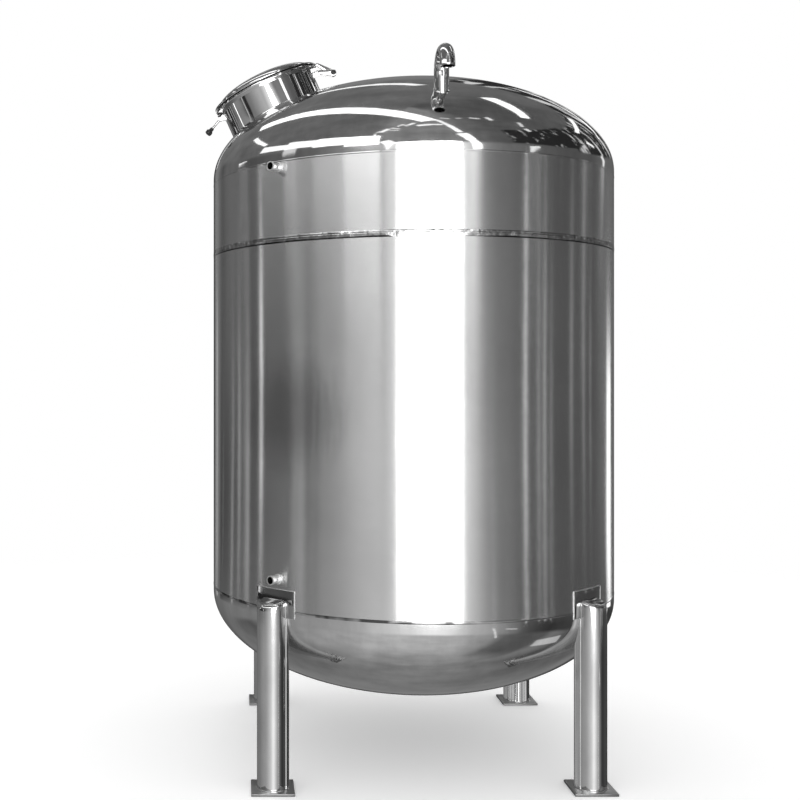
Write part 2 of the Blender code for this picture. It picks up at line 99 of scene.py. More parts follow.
class Finish:
    """One finish of the tank, as a Principled material with its nodes."""

    def __init__(self, name, colour, metallic, roughness):
        self.material = bpy.data.materials.new(name)
        self.material.use_nodes = True
        self.tree = self.material.node_tree
        self.shader = self.tree.nodes["Principled BSDF"]
        self.shader.inputs["Base Color"].default_value = (*colour, 1.0)
        self.shader.inputs["Metallic"].default_value = metallic
        self.shader.inputs["Roughness"].default_value = roughness
        self.material.diffuse_color = (*colour, 1.0)

    def node(self, kind, settings, inputs, output=0):
        """Add a node, set it up, and fill its sockets with values or links."""
        new = self.tree.nodes.new(kind)
        for key, value in settings.items():
            if key == "stops":
                ramp = new.color_ramp
                while len(ramp.elements) < len(value):
                    ramp.elements.new(0.5)
                for element, (position, shade) in zip(ramp.elements, value):
                    element.position = position
                    element.color = (shade, shade, shade, 1.0)
            else:
                setattr(new, key, value)
        for key, value in inputs.items():
            if isinstance(value, Reading):
                self.tree.links.new(value.socket, new.inputs[key])
            else:
                new.inputs[key].default_value = value
        return None if output is None else Reading(self, new.outputs[output])

    def spot(self, axis=None):
        """Read the place on the piece, or its X, Y or Z alone."""
        place = self.node("ShaderNodeTexCoord", {}, {}, "Object")
        return place if axis is None else self.node("ShaderNodeSeparateXYZ", {}, {0: place}, axis)

    def noise(self, stretch, scale, detail):
        """Read a noise of a certain size at the place on the piece, stretched along X, Y and Z."""
        place = self.node("ShaderNodeMapping", {}, {"Vector": self.spot(), "Scale": stretch})
        return self.node(
            "ShaderNodeTexNoise", {}, {"Vector": place, "Scale": scale, "Detail": detail}
        )

    def ramp(self, reading, *stops):
        """Turn a reading into a brightness, by stops of (reading, brightness)."""
        return self.node("ShaderNodeValToRGB", {"stops": stops}, {"Fac": reading})

    def spread(self, reading, start, end, low=0.0, high=1.0, kind="LINEAR"):
        """Turn a reading from start to end into a value from low to high."""
        return self.node(
            "ShaderNodeMapRange", {"interpolation_type": kind},
            {"Value": reading, "From Min": start, "From Max": end, "To Min": low, "To Max": high},
        )

    def drive(self, socket, reading):
        """Link a reading to a socket of the shader."""
        self.tree.links.new(reading.socket, self.shader.inputs[socket])

    def relief(self, height, distance, under=None):
        """Turn a height into a bump, on top of another bump."""
        inputs = {"Height": height, "Distance": distance}
        if under is not None:
            inputs["Normal"] = under
        return self.node("ShaderNodeBump", {}, inputs)


def polished_steel(name, roughness, wave_height, tone=1.0, cut_below=None):
    """Polished stainless steel: slow waves, faint smears, fine buffing lines, darker below a
    height.
    """
    steel = Finish(name, POLISHED_COLOUR, 1.0, roughness)
    waves = steel.noise((1.0, 1.0, 1.0), 5.0, 2.0)
    smears = steel.noise((1.0, 1.0, 0.4), 14.0, 5.0)
    buffing = steel.noise((1.0, 1.0, 6.0), 160.0, 2.0)
    # A dimming factor under 1 darkens the whole colour: painted shade for a piece that mirrors
    # darker surroundings.
    shade = steel.ramp(smears, (0.30, 0.55 * tone), (0.70, 0.66 * tone))
    if cut_below is not None:
        shade = shade * steel.spread(steel.spot("Z"), cut_below - 0.001, cut_below, 0.35, 1.0)
    steel.drive("Base Color", shade)
    steel.drive("Roughness", smears * 0.07 + (roughness - 0.03))
    steel.drive("Normal", steel.relief(buffing, 0.00001, steel.relief(waves, wave_height)))
    return steel


def pick(item):
    """Select one piece alone, to work on it."""
    bpy.ops.object.select_all(action="DESELECT")
    item.select_set(True)
    bpy.context.view_layer.objects.active = item


def settle(item):
    """Put a piece's place, turn and scale into its mesh."""
    pick(item)
    bpy.ops.object.transform_apply(location=True, rotation=True, scale=True)
    return item


def shape(item, kind, **settings):
    """Give a piece a modifier and apply it."""
    pick(item)
    modifier = item.modifiers.new(kind, kind)
    for key, value in settings.items():
        setattr(modifier, key, value)
    bpy.ops.object.modifier_apply(modifier=modifier.name)
    return item


def dress(item, width, segments=2, angle=35.0):
    """Round a piece's sharp edges."""
    return shape(
        item, "BEVEL", width=width, segments=segments, limit_method="ANGLE",
        angle_limit=math.radians(angle), harden_normals=False,
    )


def fit(item, name, finish, nodes=(), body="tank", angle=35.0):
    """Name a finished piece, shade it, give it its finish and put it on its body."""
    settle(item)
    bpy.ops.object.shade_smooth_by_angle(angle=math.radians(angle))
    item.name = name
    item.data.name = name
    item.data.materials.clear()
    item.data.materials.append(finish.material)
    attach(item, body)
    if nodes:
        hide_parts(*nodes)


def copy_of(item, shift=(0.0, 0.0, 0.0), flip=(1.0, 1.0, 1.0)):
    """Copy a piece with a mesh of its own, moved, or mirrored about the tank's axis."""
    pick(item)
    bpy.ops.object.duplicate()
    twin = bpy.context.object
    twin.location = shift
    twin.scale = flip
    settle(twin)
    if flip[0] * flip[1] * flip[2] < 0:
        bpy.ops.object.mode_set(mode="EDIT")
        bpy.ops.mesh.select_all(action="SELECT")
        bpy.ops.mesh.normals_make_consistent(inside=False)
        bpy.ops.object.mode_set(mode="OBJECT")
    return twin


def block(side, place):
    """Add a cube."""
    bpy.ops.object.select_all(action="DESELECT")
    bpy.ops.mesh.primitive_cube_add(size=side, location=place)
    return bpy.context.object


# Below a height just under their top, the plates' colour is darkened to about a third, so their
# side faces show dark.
plate_polish = polished_steel("polished_plate", 0.30, 0.0010, cut_below=DULL_BELOW)
foot = block(FOOT_SIDE, (0.0, 0.0, FOOT_THICKNESS / 2))
bpy.ops.object.mode_set(mode="EDIT")
bpy.ops.mesh.select_all(action="SELECT")
bpy.ops.transform.resize(
    value=(1.0, 1.0, FOOT_THICKNESS / FOOT_SIDE), center_override=(0.0, 0.0, FOOT_THICKNESS / 2)
)
bpy.ops.object.mode_set(mode="OBJECT")
dress(settle(foot), FOOT_CORNER, 3)
for corner, (x_side, y_side) in LEG_CORNERS.items():
    twin = copy_of(foot, (x_side * LEG_OFFSET, y_side * LEG_OFFSET, 0.0))
    fit(twin, "foot_" + corner, plate_polish, ["foot_plate_" + corner])
bpy.data.objects.remove(foot)


# Legs: 127 mm stainless pipe of 4 mm wall, polished. Each is coped at its head to the shell
# and the bottom head, and closed by a lid that falls away from the tank. The weld of the lid
# is ground round.
LEG_RADIUS = 0.0635
LEG_WALL = 0.004
LEG_TOP = 0.764
LEG_TOP_FALL = math.atan(0.25)
LEG_STOCK_TOP = 0.90
LID_STOCK_BOTTOM = 0.60
LID_PROUD = 0.004
LID_DEPTH = 0.018
LID_ROUND = 0.015
PAD_RADIUS = 0.9046
PAD_BOTTOM = 0.700
BEAD = 0.0035
HEAD_FLANGE = 0.025
HEAD_DEPTH = 0.432
SKIN_RADIUS = 0.8992
LOWER_JOINT = 0.725
FIT_GAP = 0.0003
CUTTER_SIDE = 0.4
CUTTER_POINTS = 64
PIPE_STEPS = 96
FINE_STEPS = 256
MERGE = 0.00001


def drawn(points, side=0.0):
    """Draw a line of (X, height) points by extruding a point, and leave it in edit mode."""
    bpy.ops.object.select_all(action="DESELECT")
    last = points[0]
    bpy.ops.mesh.primitive_plane_add(size=0.001, location=(last[0], side, last[1]))
    item = bpy.context.object
    bpy.ops.object.mode_set(mode="EDIT")
    bpy.ops.mesh.select_all(action="SELECT")
    bpy.ops.mesh.merge(type="CENTER")
    for point in points[1:]:
        move = (point[0] - last[0], 0.0, point[1] - last[1])
        bpy.ops.mesh.extrude_vertices_move(TRANSFORM_OT_translate={"value": move})
        last = point
    bpy.ops.mesh.select_all(action="SELECT")
    bpy.ops.mesh.remove_doubles(threshold=MERGE)
    bpy.ops.mesh.select_all(action="SELECT")
    return item


def turned(section, steps, closed=True, angle=math.tau):
    """Draw a section of (radius, height) points and turn it about Z, all or part of the way."""
    item = drawn(section + section[:1] if closed else section)
    bpy.ops.mesh.spin(steps=steps, angle=angle, center=(0.0, 0.0, 0.0), axis=(0.0, 0.0, 1.0))
    bpy.ops.mesh.select_all(action="SELECT")
    bpy.ops.mesh.remove_doubles(threshold=MERGE)
    if angle < math.tau:
        bpy.ops.mesh.fill_holes(sides=8)
    bpy.ops.mesh.normals_make_consistent(inside=False)
    bpy.ops.object.mode_set(mode="OBJECT")
    return settle(item)


def plug(radius, low, high, steps):
    """Turn a plain round solid, to cut with."""
    return turned([(0.0, high), (radius, high), (radius, low), (0.0, low)], steps, closed=False)


def moved(item, matrix):
    """Put a piece that was made about Z in its place."""
    item.matrix_world = matrix
    return settle(item)


def ellipse(radius, depth, count):
    """Follow a dished head from its flange to its crown, as (radius, rise) points."""
    points = []
    for i in range(count):
        angle = math.pi / 2 * i / count
        points.append((radius * math.cos(angle), depth * math.sin(angle)))
    return points + [(0.0, depth)]


def cut(item, cutter, operation="DIFFERENCE", keep=False):
    """Cut a piece with another, or join or intersect the two."""
    shape(item, "BOOLEAN", operation=operation, solver="EXACT", object=cutter)
    if not keep:
        bpy.data.objects.remove(cutter)
    return item


def choose(test):
    """Select, in edit mode, the vertices that pass a test on their place."""
    item = bpy.context.object
    bpy.ops.mesh.select_all(action="DESELECT")
    bpy.ops.object.mode_set(mode="OBJECT")
    for vertex in item.data.vertices:
        vertex.select = test(vertex.co)
    for edge in item.data.edges:
        edge.select = all(item.data.vertices[i].select for i in edge.vertices)
    for face in item.data.polygons:
        face.select = all(item.data.vertices[i].select for i in face.vertices)
    bpy.ops.object.mode_set(mode="EDIT")


def bead_along(item, test, radius):
    """Lay a weld bead along the edges of a piece whose two ends pass a test on their place."""
    pick(item)
    bpy.ops.object.duplicate()
    bpy.ops.object.mode_set(mode="EDIT")
    bpy.ops.mesh.select_mode(type="EDGE")
    choose(test)
    bpy.ops.mesh.select_all(action="INVERT")
    bpy.ops.mesh.delete(type="EDGE")
    bpy.ops.mesh.select_all(action="SELECT")
    bpy.ops.mesh.delete(type="ONLY_FACE")
    bpy.ops.mesh.select_mode(type="VERT")
    bpy.ops.mesh.select_all(action="SELECT")
    bpy.ops.mesh.remove_doubles(threshold=0.0005)
    bpy.ops.object.mode_set(mode="OBJECT")
    bpy.ops.object.convert(target="CURVE")
    line = bpy.context.object
    line.data.bevel_depth = radius
    line.data.bevel_resolution = 3
    line.data.use_fill_caps = True
    bpy.ops.object.convert(target="MESH")
    return bpy.context.object


def ring_bead(place, radius, bead, steps):
    """Lay a weld bead round a pipe or a fitting."""
    bpy.ops.object.select_all(action="DESELECT")
    bpy.ops.mesh.primitive_torus_add(
        location=place, major_segments=steps, minor_segments=12,
        major_radius=radius, minor_radius=bead,
    )
    return settle(bpy.context.object)


def to_corners(*pieces):
    """Copy pieces of the front left leg to all four corners, by mirroring."""
    for corner, (x_side, y_side) in LEG_CORNERS.items():
        for item, name, finish, node in pieces:
            twin = copy_of(item, flip=(-x_side, -y_side, 1.0))
            fit(twin, name + corner, finish, [node + corner] if node else [])
    for item, name, finish, node in pieces:
        bpy.data.objects.remove(item)


base_section = [(0.0, 2.0), (PAD_RADIUS, 2.0), (PAD_RADIUS, PAD_BOTTOM)]
base_section += [
    (radius, PAD_BOTTOM - rise)
    for radius, rise in ellipse(SKIN_RADIUS + FIT_GAP, HEAD_DEPTH + FIT_GAP, CUTTER_POINTS)
]
base_solid = turned(base_section, FINE_STEPS, closed=False)
pipe_section = [
    (LEG_RADIUS, LEG_STOCK_TOP), (LEG_RADIUS, FOOT_THICKNESS),
    (LEG_RADIUS - LEG_WALL, FOOT_THICKNESS), (LEG_RADIUS - LEG_WALL, LEG_STOCK_TOP),
]
leg_place = Matrix.Translation((-LEG_OFFSET, -LEG_OFFSET, 0.0))
fall = Matrix.Rotation(LEG_TOP_FALL, 4, Vector((1.0, -1.0, 0.0)))
lid_place = leg_place @ Matrix.Translation((0.0, 0.0, LEG_TOP)) @ fall
leg = moved(turned(pipe_section, PIPE_STEPS), leg_place)
above = settle(block(CUTTER_SIDE, (0.0, 0.0, CUTTER_SIDE / 2 - LID_DEPTH)))
cut(leg, moved(above, lid_place))
cut(leg, base_solid, keep=True)
# The test for this bead also takes the pipe's upright lines on the tank's side, so stray beads
# run down that side to the foot. The cope alone is meant, which lies above a height of 0.5.
leg_root = bead_along(
    leg,
    lambda spot: abs(math.hypot(spot.x + LEG_OFFSET, spot.y + LEG_OFFSET) - LEG_RADIUS) < 0.0004
    and math.hypot(spot.x, spot.y) < PAD_RADIUS + 0.0005 and spot.z < LEG_TOP - 0.008,
    BEAD,
)

lid = moved(plug(LEG_RADIUS, LID_STOCK_BOTTOM, LEG_STOCK_TOP, PIPE_STEPS), leg_place)
slab = block(CUTTER_SIDE, (0.0, 0.0, LID_PROUD - CUTTER_SIDE / 2))
bpy.ops.object.mode_set(mode="EDIT")
choose(lambda spot: spot.z < 0.0)
bpy.ops.transform.translate(value=(0.0, 0.0, CUTTER_SIDE - LID_PROUD - LID_DEPTH))
bpy.ops.object.mode_set(mode="OBJECT")
cut(lid, moved(settle(slab), lid_place), "INTERSECT")
to_lid = lid_place.inverted()
bpy.ops.object.mode_set(mode="EDIT")
bpy.ops.mesh.select_mode(type="EDGE")
choose(lambda spot: (to_lid @ spot).z > LID_PROUD - 0.0005)
bpy.ops.mesh.bevel(offset=LID_ROUND, segments=6, affect="EDGES")
bpy.ops.mesh.select_mode(type="VERT")
bpy.ops.object.mode_set(mode="OBJECT")
cut(lid, base_solid, keep=True)

leg_foot = ring_bead(
    (-LEG_OFFSET, -LEG_OFFSET, FOOT_THICKNESS), LEG_RADIUS + 0.001, BEAD, PIPE_STEPS
)
polished = polished_steel("polished_steel", 0.07, 0.0010)
to_corners(
    (leg, "leg_pipe_", polished, "leg_"), (lid, "leg_lid_", polished, "leg_cap_"),
    (leg_root, "leg_root_weld_", polished, None), (leg_foot, "leg_foot_weld_", polished, None),
)


# Leg pads: 4 mm plates rolled to the shell, one behind the head of each leg, with their
# edges rounded and a thin pickled weld all round.
PAD_TOP = 0.810
PAD_INNER = 0.9003
PAD_OUTER = PAD_INNER + 0.004
PAD_MIDDLE = math.radians(225.0)
PAD_HALF_ANGLE = math.radians(6.6)
PAD_STEPS = 16
PAD_BEAD = 0.0020
PICKLED_COLOUR = (0.86, 0.86, 0.86)


def at_pad_edge(spot):
    """Tell whether a place is on the edge of the pad's inner face.

    The upright lines of that face have both ends there too, so stray beads lie hidden under it.
    """
    turn = abs(math.atan2(spot.y, spot.x) - PAD_MIDDLE + math.tau)
    return math.hypot(spot.x, spot.y) < PAD_INNER + 0.0005 and (
        spot.z < PAD_BOTTOM + 0.0002 or spot.z > PAD_TOP - 0.0002
        or turn > PAD_HALF_ANGLE - 0.0004
    )


pad_section = [
    (PAD_INNER, PAD_BOTTOM), (PAD_OUTER, PAD_BOTTOM), (PAD_OUTER, PAD_TOP), (PAD_INNER, PAD_TOP),
]
pad = turned(pad_section, PAD_STEPS, angle=2 * PAD_HALF_ANGLE)
pad.rotation_euler = (0.0, 0.0, PAD_MIDDLE + PAD_HALF_ANGLE)
settle(pad)
pad_bead = bead_along(pad, at_pad_edge, PAD_BEAD)
dress(pad, 0.001, 2)
# The pads' colour is dimmed to 0.65: painted shade for the darker surroundings that they mirror.
pad_polish = polished_steel("polished_pad", 0.09, 0.0015, tone=0.65)
pale_weld = Finish("pickled_weld", PICKLED_COLOUR, 1.0, 0.40)
ripples = pale_weld.noise((1.0, 1.0, 1.0), 90.0, 3.0)
pale_weld.drive("Base Color", pale_weld.ramp(ripples, (0.35, 0.70), (0.65, 0.92)))
pale_weld.drive("Roughness", ripples * 0.20 + 0.28)
to_corners((pad, "pad_", pad_polish, "leg_pad_"), (pad_bead, "pad_weld_", pale_weld, None))


# Bottom head: a dished end pressed from 5 mm stainless sheet, with a short straight flange,
# mirror-polished, and welded under the shell.
HEAD_WALL = 0.005
BOTTOM_TANGENT = LOWER_JOINT - HEAD_FLANGE
HEAD_POINTS = 72


def dished_end(tangent, way, joint):
    """Turn a dished head that points up or down from its joint."""
    outer = ellipse(SKIN_RADIUS, HEAD_DEPTH, HEAD_POINTS)
    inner = ellipse(SKIN_RADIUS - HEAD_WALL, HEAD_DEPTH - HEAD_WALL, HEAD_POINTS)
    section = [(radius, tangent + way * rise) for radius, rise in outer[::-1]]
    section += [(SKIN_RADIUS, joint), (SKIN_RADIUS - HEAD_WALL, joint)]
    section += [(radius, tangent + way * rise) for radius, rise in inner]
    return turned(section, FINE_STEPS, closed=False)


head_polish = polished_steel("polished_head", 0.06, 0.0012)
fit(dished_end(BOTTOM_TANGENT, -1.0, LOWER_JOINT), "bottom_head_skin", head_polish,
    ["bottom_head"])


# Shell courses: two rings rolled from 5 mm stainless sheet, a tall one under a short one. The
# outside keeps a satin finish, with its fine grain around the shell and a smudge on the left.
SHELL_RADIUS = 0.900
SHELL_WALL = 0.005
GIRTH_SEAM = 2.225
UPPER_JOINT = 2.542
ROW_HEIGHT = 0.1
SATIN_COLOUR = (0.66, 0.66, 0.665)
SOCKET_RADIUS = 0.019
SOCKET_BEARING = math.radians(-44.0)
SOCKET_OUT = Vector((math.sin(SOCKET_BEARING), -math.cos(SOCKET_BEARING), 0.0))
UPPER_SOCKET_HEIGHT = 2.519
LOWER_SOCKET_HEIGHT = 0.851
SMUDGE_PLACE = (-0.58, -0.69, 1.520)

satin = Finish("satin_steel", SATIN_COLOUR, 1.0, 0.31)
satin.shader.inputs["Anisotropic"].default_value = 1.0
satin.shader.inputs["Anisotropic Rotation"].default_value = 0.25
grain = satin.noise((1.0, 1.0, 60.0), 12.0, 6.0)
drawn_waves = satin.noise((0.6, 0.6, 0.35), 3.0, 4.0)
clouds = satin.noise((1.0, 1.0, 0.6), 4.0, 6.0)
threads = satin.noise((14.0, 14.0, 1.0), 6.0, 3.0)
from_smudge = satin.node(
    "ShaderNodeVectorMath", {"operation": "DISTANCE"}, {0: satin.spot(), 1: SMUDGE_PLACE}, "Value"
)
smudge = satin.spread(from_smudge + threads * 0.10, 0.10, 0.37, 0.64, 1.0, "SMOOTHSTEP")
satin_shade = satin.ramp(grain * 0.35 + clouds * 0.65, (0.25, 0.56), (0.75, 0.70))
satin.drive("Base Color", satin_shade * smudge)
satin.drive("Roughness", grain * 0.05 + drawn_waves * 0.08 + 0.155)
satin.drive("Normal", satin.relief(grain, 0.00003, satin.relief(drawn_waves, 0.0012)))


def aimed(origin, direction):
    """Place Z along a direction, from an origin."""
    turn = Vector(direction).to_track_quat("Z", "Y").to_matrix().to_4x4()
    return Matrix.Translation(origin) @ turn


def socket_place(height):
    """Place a socket's axis on the shell, pointing out."""
    return aimed(SOCKET_OUT * SHELL_RADIUS + Vector((0.0, 0.0, height)), SOCKET_OUT)


def course(name, bottom, top, socket_height):
    """Turn a course of the shell, cut the hole of its socket, and fit it."""
    count = max(4, round((top - bottom) / ROW_HEIGHT))
    outer = [(SKIN_RADIUS, top + (bottom - top) * i / count) for i in range(count + 1)]
    inner = [(SKIN_RADIUS - SHELL_WALL, height) for radius, height in outer[::-1]]
    ring = turned(outer + inner, FINE_STEPS)
    cut(ring, moved(plug(SOCKET_RADIUS, -0.1, 0.1, 48), socket_place(socket_height)))
    nodes = [name + side for side in ("_front_left", "_front_right", "_rear_right", "_rear_left")]
    fit(ring, name + "_skin", satin, nodes)


course("lower_course", LOWER_JOINT + FIT_GAP, GIRTH_SEAM - FIT_GAP, LOWER_SOCKET_HEIGHT)
course("upper_course", GIRTH_SEAM + FIT_GAP, UPPER_JOINT - FIT_GAP, UPPER_SOCKET_HEIGHT)


# Shell seams: the girth weld between the courses, ground and buffed to a dull band with a low
# crown, with painted shade along its lower edge, and a thinner weld where each head meets the
# shell. The lower one is left dark in dashes at its front left.
SEAM_ROOT = -0.002
SEAM_TOE = 0.00005
BAND_PROUD = 0.0003
BAND_SLOPE = 0.0008
CROWN_TOE = 0.0005
CROWN_STEPS = 8
DARK_EDGE = GIRTH_SEAM - 0.0045


def seam(name, finish, height, band_half, crown_half, crown_proud):
    """Turn a buffed weld, a flat band with a low crown in its middle, and fit it."""
    half = [
        (SEAM_ROOT, band_half), (SEAM_TOE, band_half),
        (BAND_PROUD, band_half - BAND_SLOPE), (BAND_PROUD, crown_half + CROWN_TOE),
    ]
    crown = []
    for i in range(CROWN_STEPS + 1):
        angle = math.pi * i / CROWN_STEPS
        proud = BAND_PROUD + (crown_proud - BAND_PROUD) * math.sin(angle)
        crown.append((proud, crown_half * math.cos(angle)))
    outline = half + crown + [(proud, -rise) for proud, rise in half[::-1]]
    section = [(SKIN_RADIUS + proud, height + rise) for proud, rise in outline]
    fit(turned(section, FINE_STEPS), name, finish, angle=70.0)


girth = Finish("buffed_girth_seam", (0.42, 0.42, 0.425), 1.0, 0.12)
east = girth.spot("X")
at_front = girth.spread(east, -0.20, -0.16) - girth.spread(east, 0.10, 0.14)
stretches = girth.noise((1.0, 1.0, 0.0), 5.0, 3.0)
specks = girth.noise((1.0, 1.0, 1.0), 45.0, 2.0)
# Painted shade: the band's lower edge is darkened, as in a shadow gap under the crown, but not at
# the front of the shell.
edge = girth.spread(
    girth.spot("Z") + stretches * 0.012 + at_front * 0.02, DARK_EDGE, DARK_EDGE + 0.003, 0.05, 1.0
)
mottle = girth.ramp(specks, (0.30, 0.24), (0.50, 0.42), (0.62, 0.46), (0.70, 0.80))
girth.drive("Base Color", mottle * edge)
girth.drive("Roughness", specks * 0.20 + 0.05)
girth.drive("Normal", girth.relief(specks, 0.0012))
seam("girth_seam", girth, GIRTH_SEAM, 0.014, 0.0045, 0.0008)

band_polish = polished_steel("buffed_joint", 0.09, 0.0022)
seam("top_joint_weld", band_polish, UPPER_JOINT, 0.004, 0.0035, 0.0007)

joint = Finish("dark_joint", (0.25, 0.25, 0.25), 1.0, 0.14)
dashes = joint.noise((1.0, 1.0, 0.0), 9.0, 2.0)
dash_shade = joint.ramp(dashes, (0.48, 0.10), (0.60, 0.50))
at_right = joint.spread(joint.spot("X"), 0.06, 0.14)
joint.drive("Base Color", dash_shade + (0.55 - dash_shade) * at_right)
joint.drive("Normal", joint.relief(dashes, 0.0015))
seam("bottom_joint_weld", joint, LOWER_JOINT, 0.006, 0.0045, 0.0008)


# Sockets: two short stainless couplings with a thread inside, a collar at the mouth and a
# groove behind it, each set through its course and welded. They are pickled pale, not polished,
# with painted shade darkening their bores.
SOCKET_BORE = 0.0135
SOCKET_LENGTH = 0.045
SOCKET_ROOT = -0.005
SOCKET_BODY = SOCKET_RADIUS - 0.0005
SOCKET_BEAD = 0.0028
GROOVE_RADIUS = 0.0168
THREAD_START = 0.010
THREAD_PITCH = 0.0023
THREAD_DEPTH = 0.0010
THREAD_TURNS = 13

socket_section = [
    (SOCKET_BORE + 0.0012, SOCKET_LENGTH), (SOCKET_RADIUS, SOCKET_LENGTH),
    (SOCKET_RADIUS, SOCKET_LENGTH - 0.012), (GROOVE_RADIUS, SOCKET_LENGTH - 0.0145),
    (GROOVE_RADIUS, SOCKET_LENGTH - 0.024), (SOCKET_BODY, SOCKET_LENGTH - 0.0265),
    (SOCKET_BODY, SOCKET_ROOT), (SOCKET_BORE, SOCKET_ROOT),
]
for turn in range(THREAD_TURNS):
    start = THREAD_START + turn * THREAD_PITCH
    socket_section.append((SOCKET_BORE, start))
    socket_section.append((SOCKET_BORE + THREAD_DEPTH, start + THREAD_PITCH / 2))
socket_section.append((SOCKET_BORE, THREAD_START + THREAD_TURNS * THREAD_PITCH))


def pickled_steel(name, height):
    """Pale pickled steel, with the bore of the socket at a height darkened as painted shade."""
    steel = Finish(name, PICKLED_COLOUR, 1.0, 0.36)
    offset = steel.node(
        "ShaderNodeVectorMath", {"operation": "SUBTRACT"}, {0: steel.spot(), 1: (0.0, 0.0, height)}
    )
    from_axis = steel.node(
        "ShaderNodeVectorMath", {"operation": "CROSS_PRODUCT"}, {0: offset, 1: SOCKET_OUT}
    )
    radius = steel.node("ShaderNodeVectorMath", {"operation": "LENGTH"}, {0: from_axis}, "Value")
    blotches = steel.noise((1.0, 1.0, 1.0), 60.0, 3.0)
    shade = steel.ramp(blotches, (0.35, 0.74), (0.65, 0.92))
    # Inside the bore the colour drops to 0.03 of itself: painted shade for the hollow of the
    # socket.
    steel.drive("Base Color", shade * steel.spread(radius, 0.0142, 0.0150, 0.03, 1.0))
    steel.drive("Roughness", blotches * 0.16 + 0.24)
    return steel


fitting = turned(socket_section, 64)
dress(fitting, 0.0006, 2, 50.0)
fitting_weld = ring_bead((0.0, 0.0, 0.0), SOCKET_RADIUS, SOCKET_BEAD, 64)
for name, height in (("upper_socket", UPPER_SOCKET_HEIGHT), ("lower_socket", LOWER_SOCKET_HEIGHT)):
    pickled = pickled_steel("pickled_" + name, height)
    fit(moved(copy_of(fitting), socket_place(height)), name + "_fitting", pickled, [name])
    fit(moved(copy_of(fitting_weld), socket_place(height)), name + "_weld", pickled)
for item in (fitting, fitting_weld):
    bpy.data.objects.remove(item)


# Top head: the same dished end as below, mirror-polished, with a hole for the manway on the
# left and one for the vent at the front.
TOP_TANGENT = UPPER_JOINT + HEAD_FLANGE
MANWAY_PITCH = 0.612
NECK_RADIUS = 0.225
NECK_BORE = NECK_RADIUS - 0.004
VENT_X = 0.024
VENT_Y = -0.735
VENT_RADIUS = 0.030
VENT_WALL = 0.003

manway_rise = HEAD_DEPTH * math.sqrt(1.0 - (MANWAY_PITCH / SHELL_RADIUS) ** 2)
manway_tilt = math.atan2(MANWAY_PITCH / SHELL_RADIUS**2, manway_rise / HEAD_DEPTH**2)
manway_centre = (-MANWAY_PITCH, 0.0, TOP_TANGENT + manway_rise)
manway_place = Matrix.Translation(manway_centre) @ Matrix.Rotation(-manway_tilt, 4, "Y")
top_head = dished_end(TOP_TANGENT, 1.0, UPPER_JOINT)
cut(top_head, moved(plug(NECK_BORE, -0.3, 0.3, 96), manway_place))
vent_hole = plug(VENT_RADIUS - VENT_WALL, 2.6, 3.2, 48)
cut(top_head, moved(vent_hole, Matrix.Translation((VENT_X, VENT_Y, 0.0))))
fit(top_head, "top_head_skin", head_polish, ["top_head"])


# Vent: a gooseneck bent from 60 mm stainless pipe, with its mouth down so that rain stays
# out. It is polished and welded upright on the slope of the top head.
VENT_STOCK_BOTTOM = 2.74
VENT_BEND_RADIUS = 0.069
VENT_BEND_HEIGHT = 2.876
VENT_MOUTH_HEIGHT = 2.870
VENT_BEAD = 0.0032
TOP_CUTTER_GROW = 0.0002

top_curve = ellipse(SKIN_RADIUS + TOP_CUTTER_GROW, HEAD_DEPTH + TOP_CUTTER_GROW, CUTTER_POINTS)
top_section = [(radius, TOP_TANGENT + rise) for radius, rise in top_curve[::-1]]
top_section += [(SKIN_RADIUS + TOP_CUTTER_GROW, GIRTH_SEAM), (0.0, GIRTH_SEAM)]
top_solid = turned(top_section, FINE_STEPS, closed=False)

bpy.ops.object.select_all(action="DESELECT")
bpy.ops.mesh.primitive_circle_add(
    vertices=64, radius=VENT_RADIUS, location=(VENT_X, VENT_Y, VENT_STOCK_BOTTOM)
)
vent = bpy.context.object
bpy.ops.object.mode_set(mode="EDIT")
bpy.ops.mesh.select_all(action="SELECT")
bpy.ops.mesh.extrude_region_move(
    TRANSFORM_OT_translate={"value": (0.0, 0.0, VENT_BEND_HEIGHT - VENT_STOCK_BOTTOM)}
)
bpy.ops.mesh.spin(
    steps=40, angle=math.pi, center=(VENT_X, VENT_Y - VENT_BEND_RADIUS, VENT_BEND_HEIGHT),
    axis=(-1.0, 0.0, 0.0),
)
bpy.ops.mesh.extrude_region_move(
    TRANSFORM_OT_translate={"value": (0.0, 0.0, VENT_MOUTH_HEIGHT - VENT_BEND_HEIGHT)}
)
bpy.ops.mesh.select_all(action="SELECT")
bpy.ops.mesh.remove_doubles(threshold=MERGE)
bpy.ops.mesh.normals_make_consistent(inside=False)
bpy.ops.object.mode_set(mode="OBJECT")
settle(vent)
shape(vent, "SOLIDIFY", thickness=VENT_WALL, offset=-1.0, use_even_offset=True)
cut(vent, top_solid, keep=True)
vent_weld = bead_along(
    vent,
    lambda spot: abs(math.hypot(spot.x - VENT_X, spot.y - VENT_Y) - VENT_RADIUS) < 0.0003
    and spot.z < 2.855,
    VENT_BEAD,
)
dress(vent, 0.0006, 2, 60.0)
fit(vent, "vent_pipe", polished, ["vent_gooseneck"])
fit(vent_weld, "vent_weld", polished)


# Manway neck: a short tube rolled from 4 mm stainless sheet, 450 mm across, coped and welded
# to the slope of the top head, and polished inside and out.
NECK_TOP = 0.098
NECK_MIDDLE = 0.02
NECK_STOCK_BOTTOM = -0.12
NECK_BEAD = 0.0042

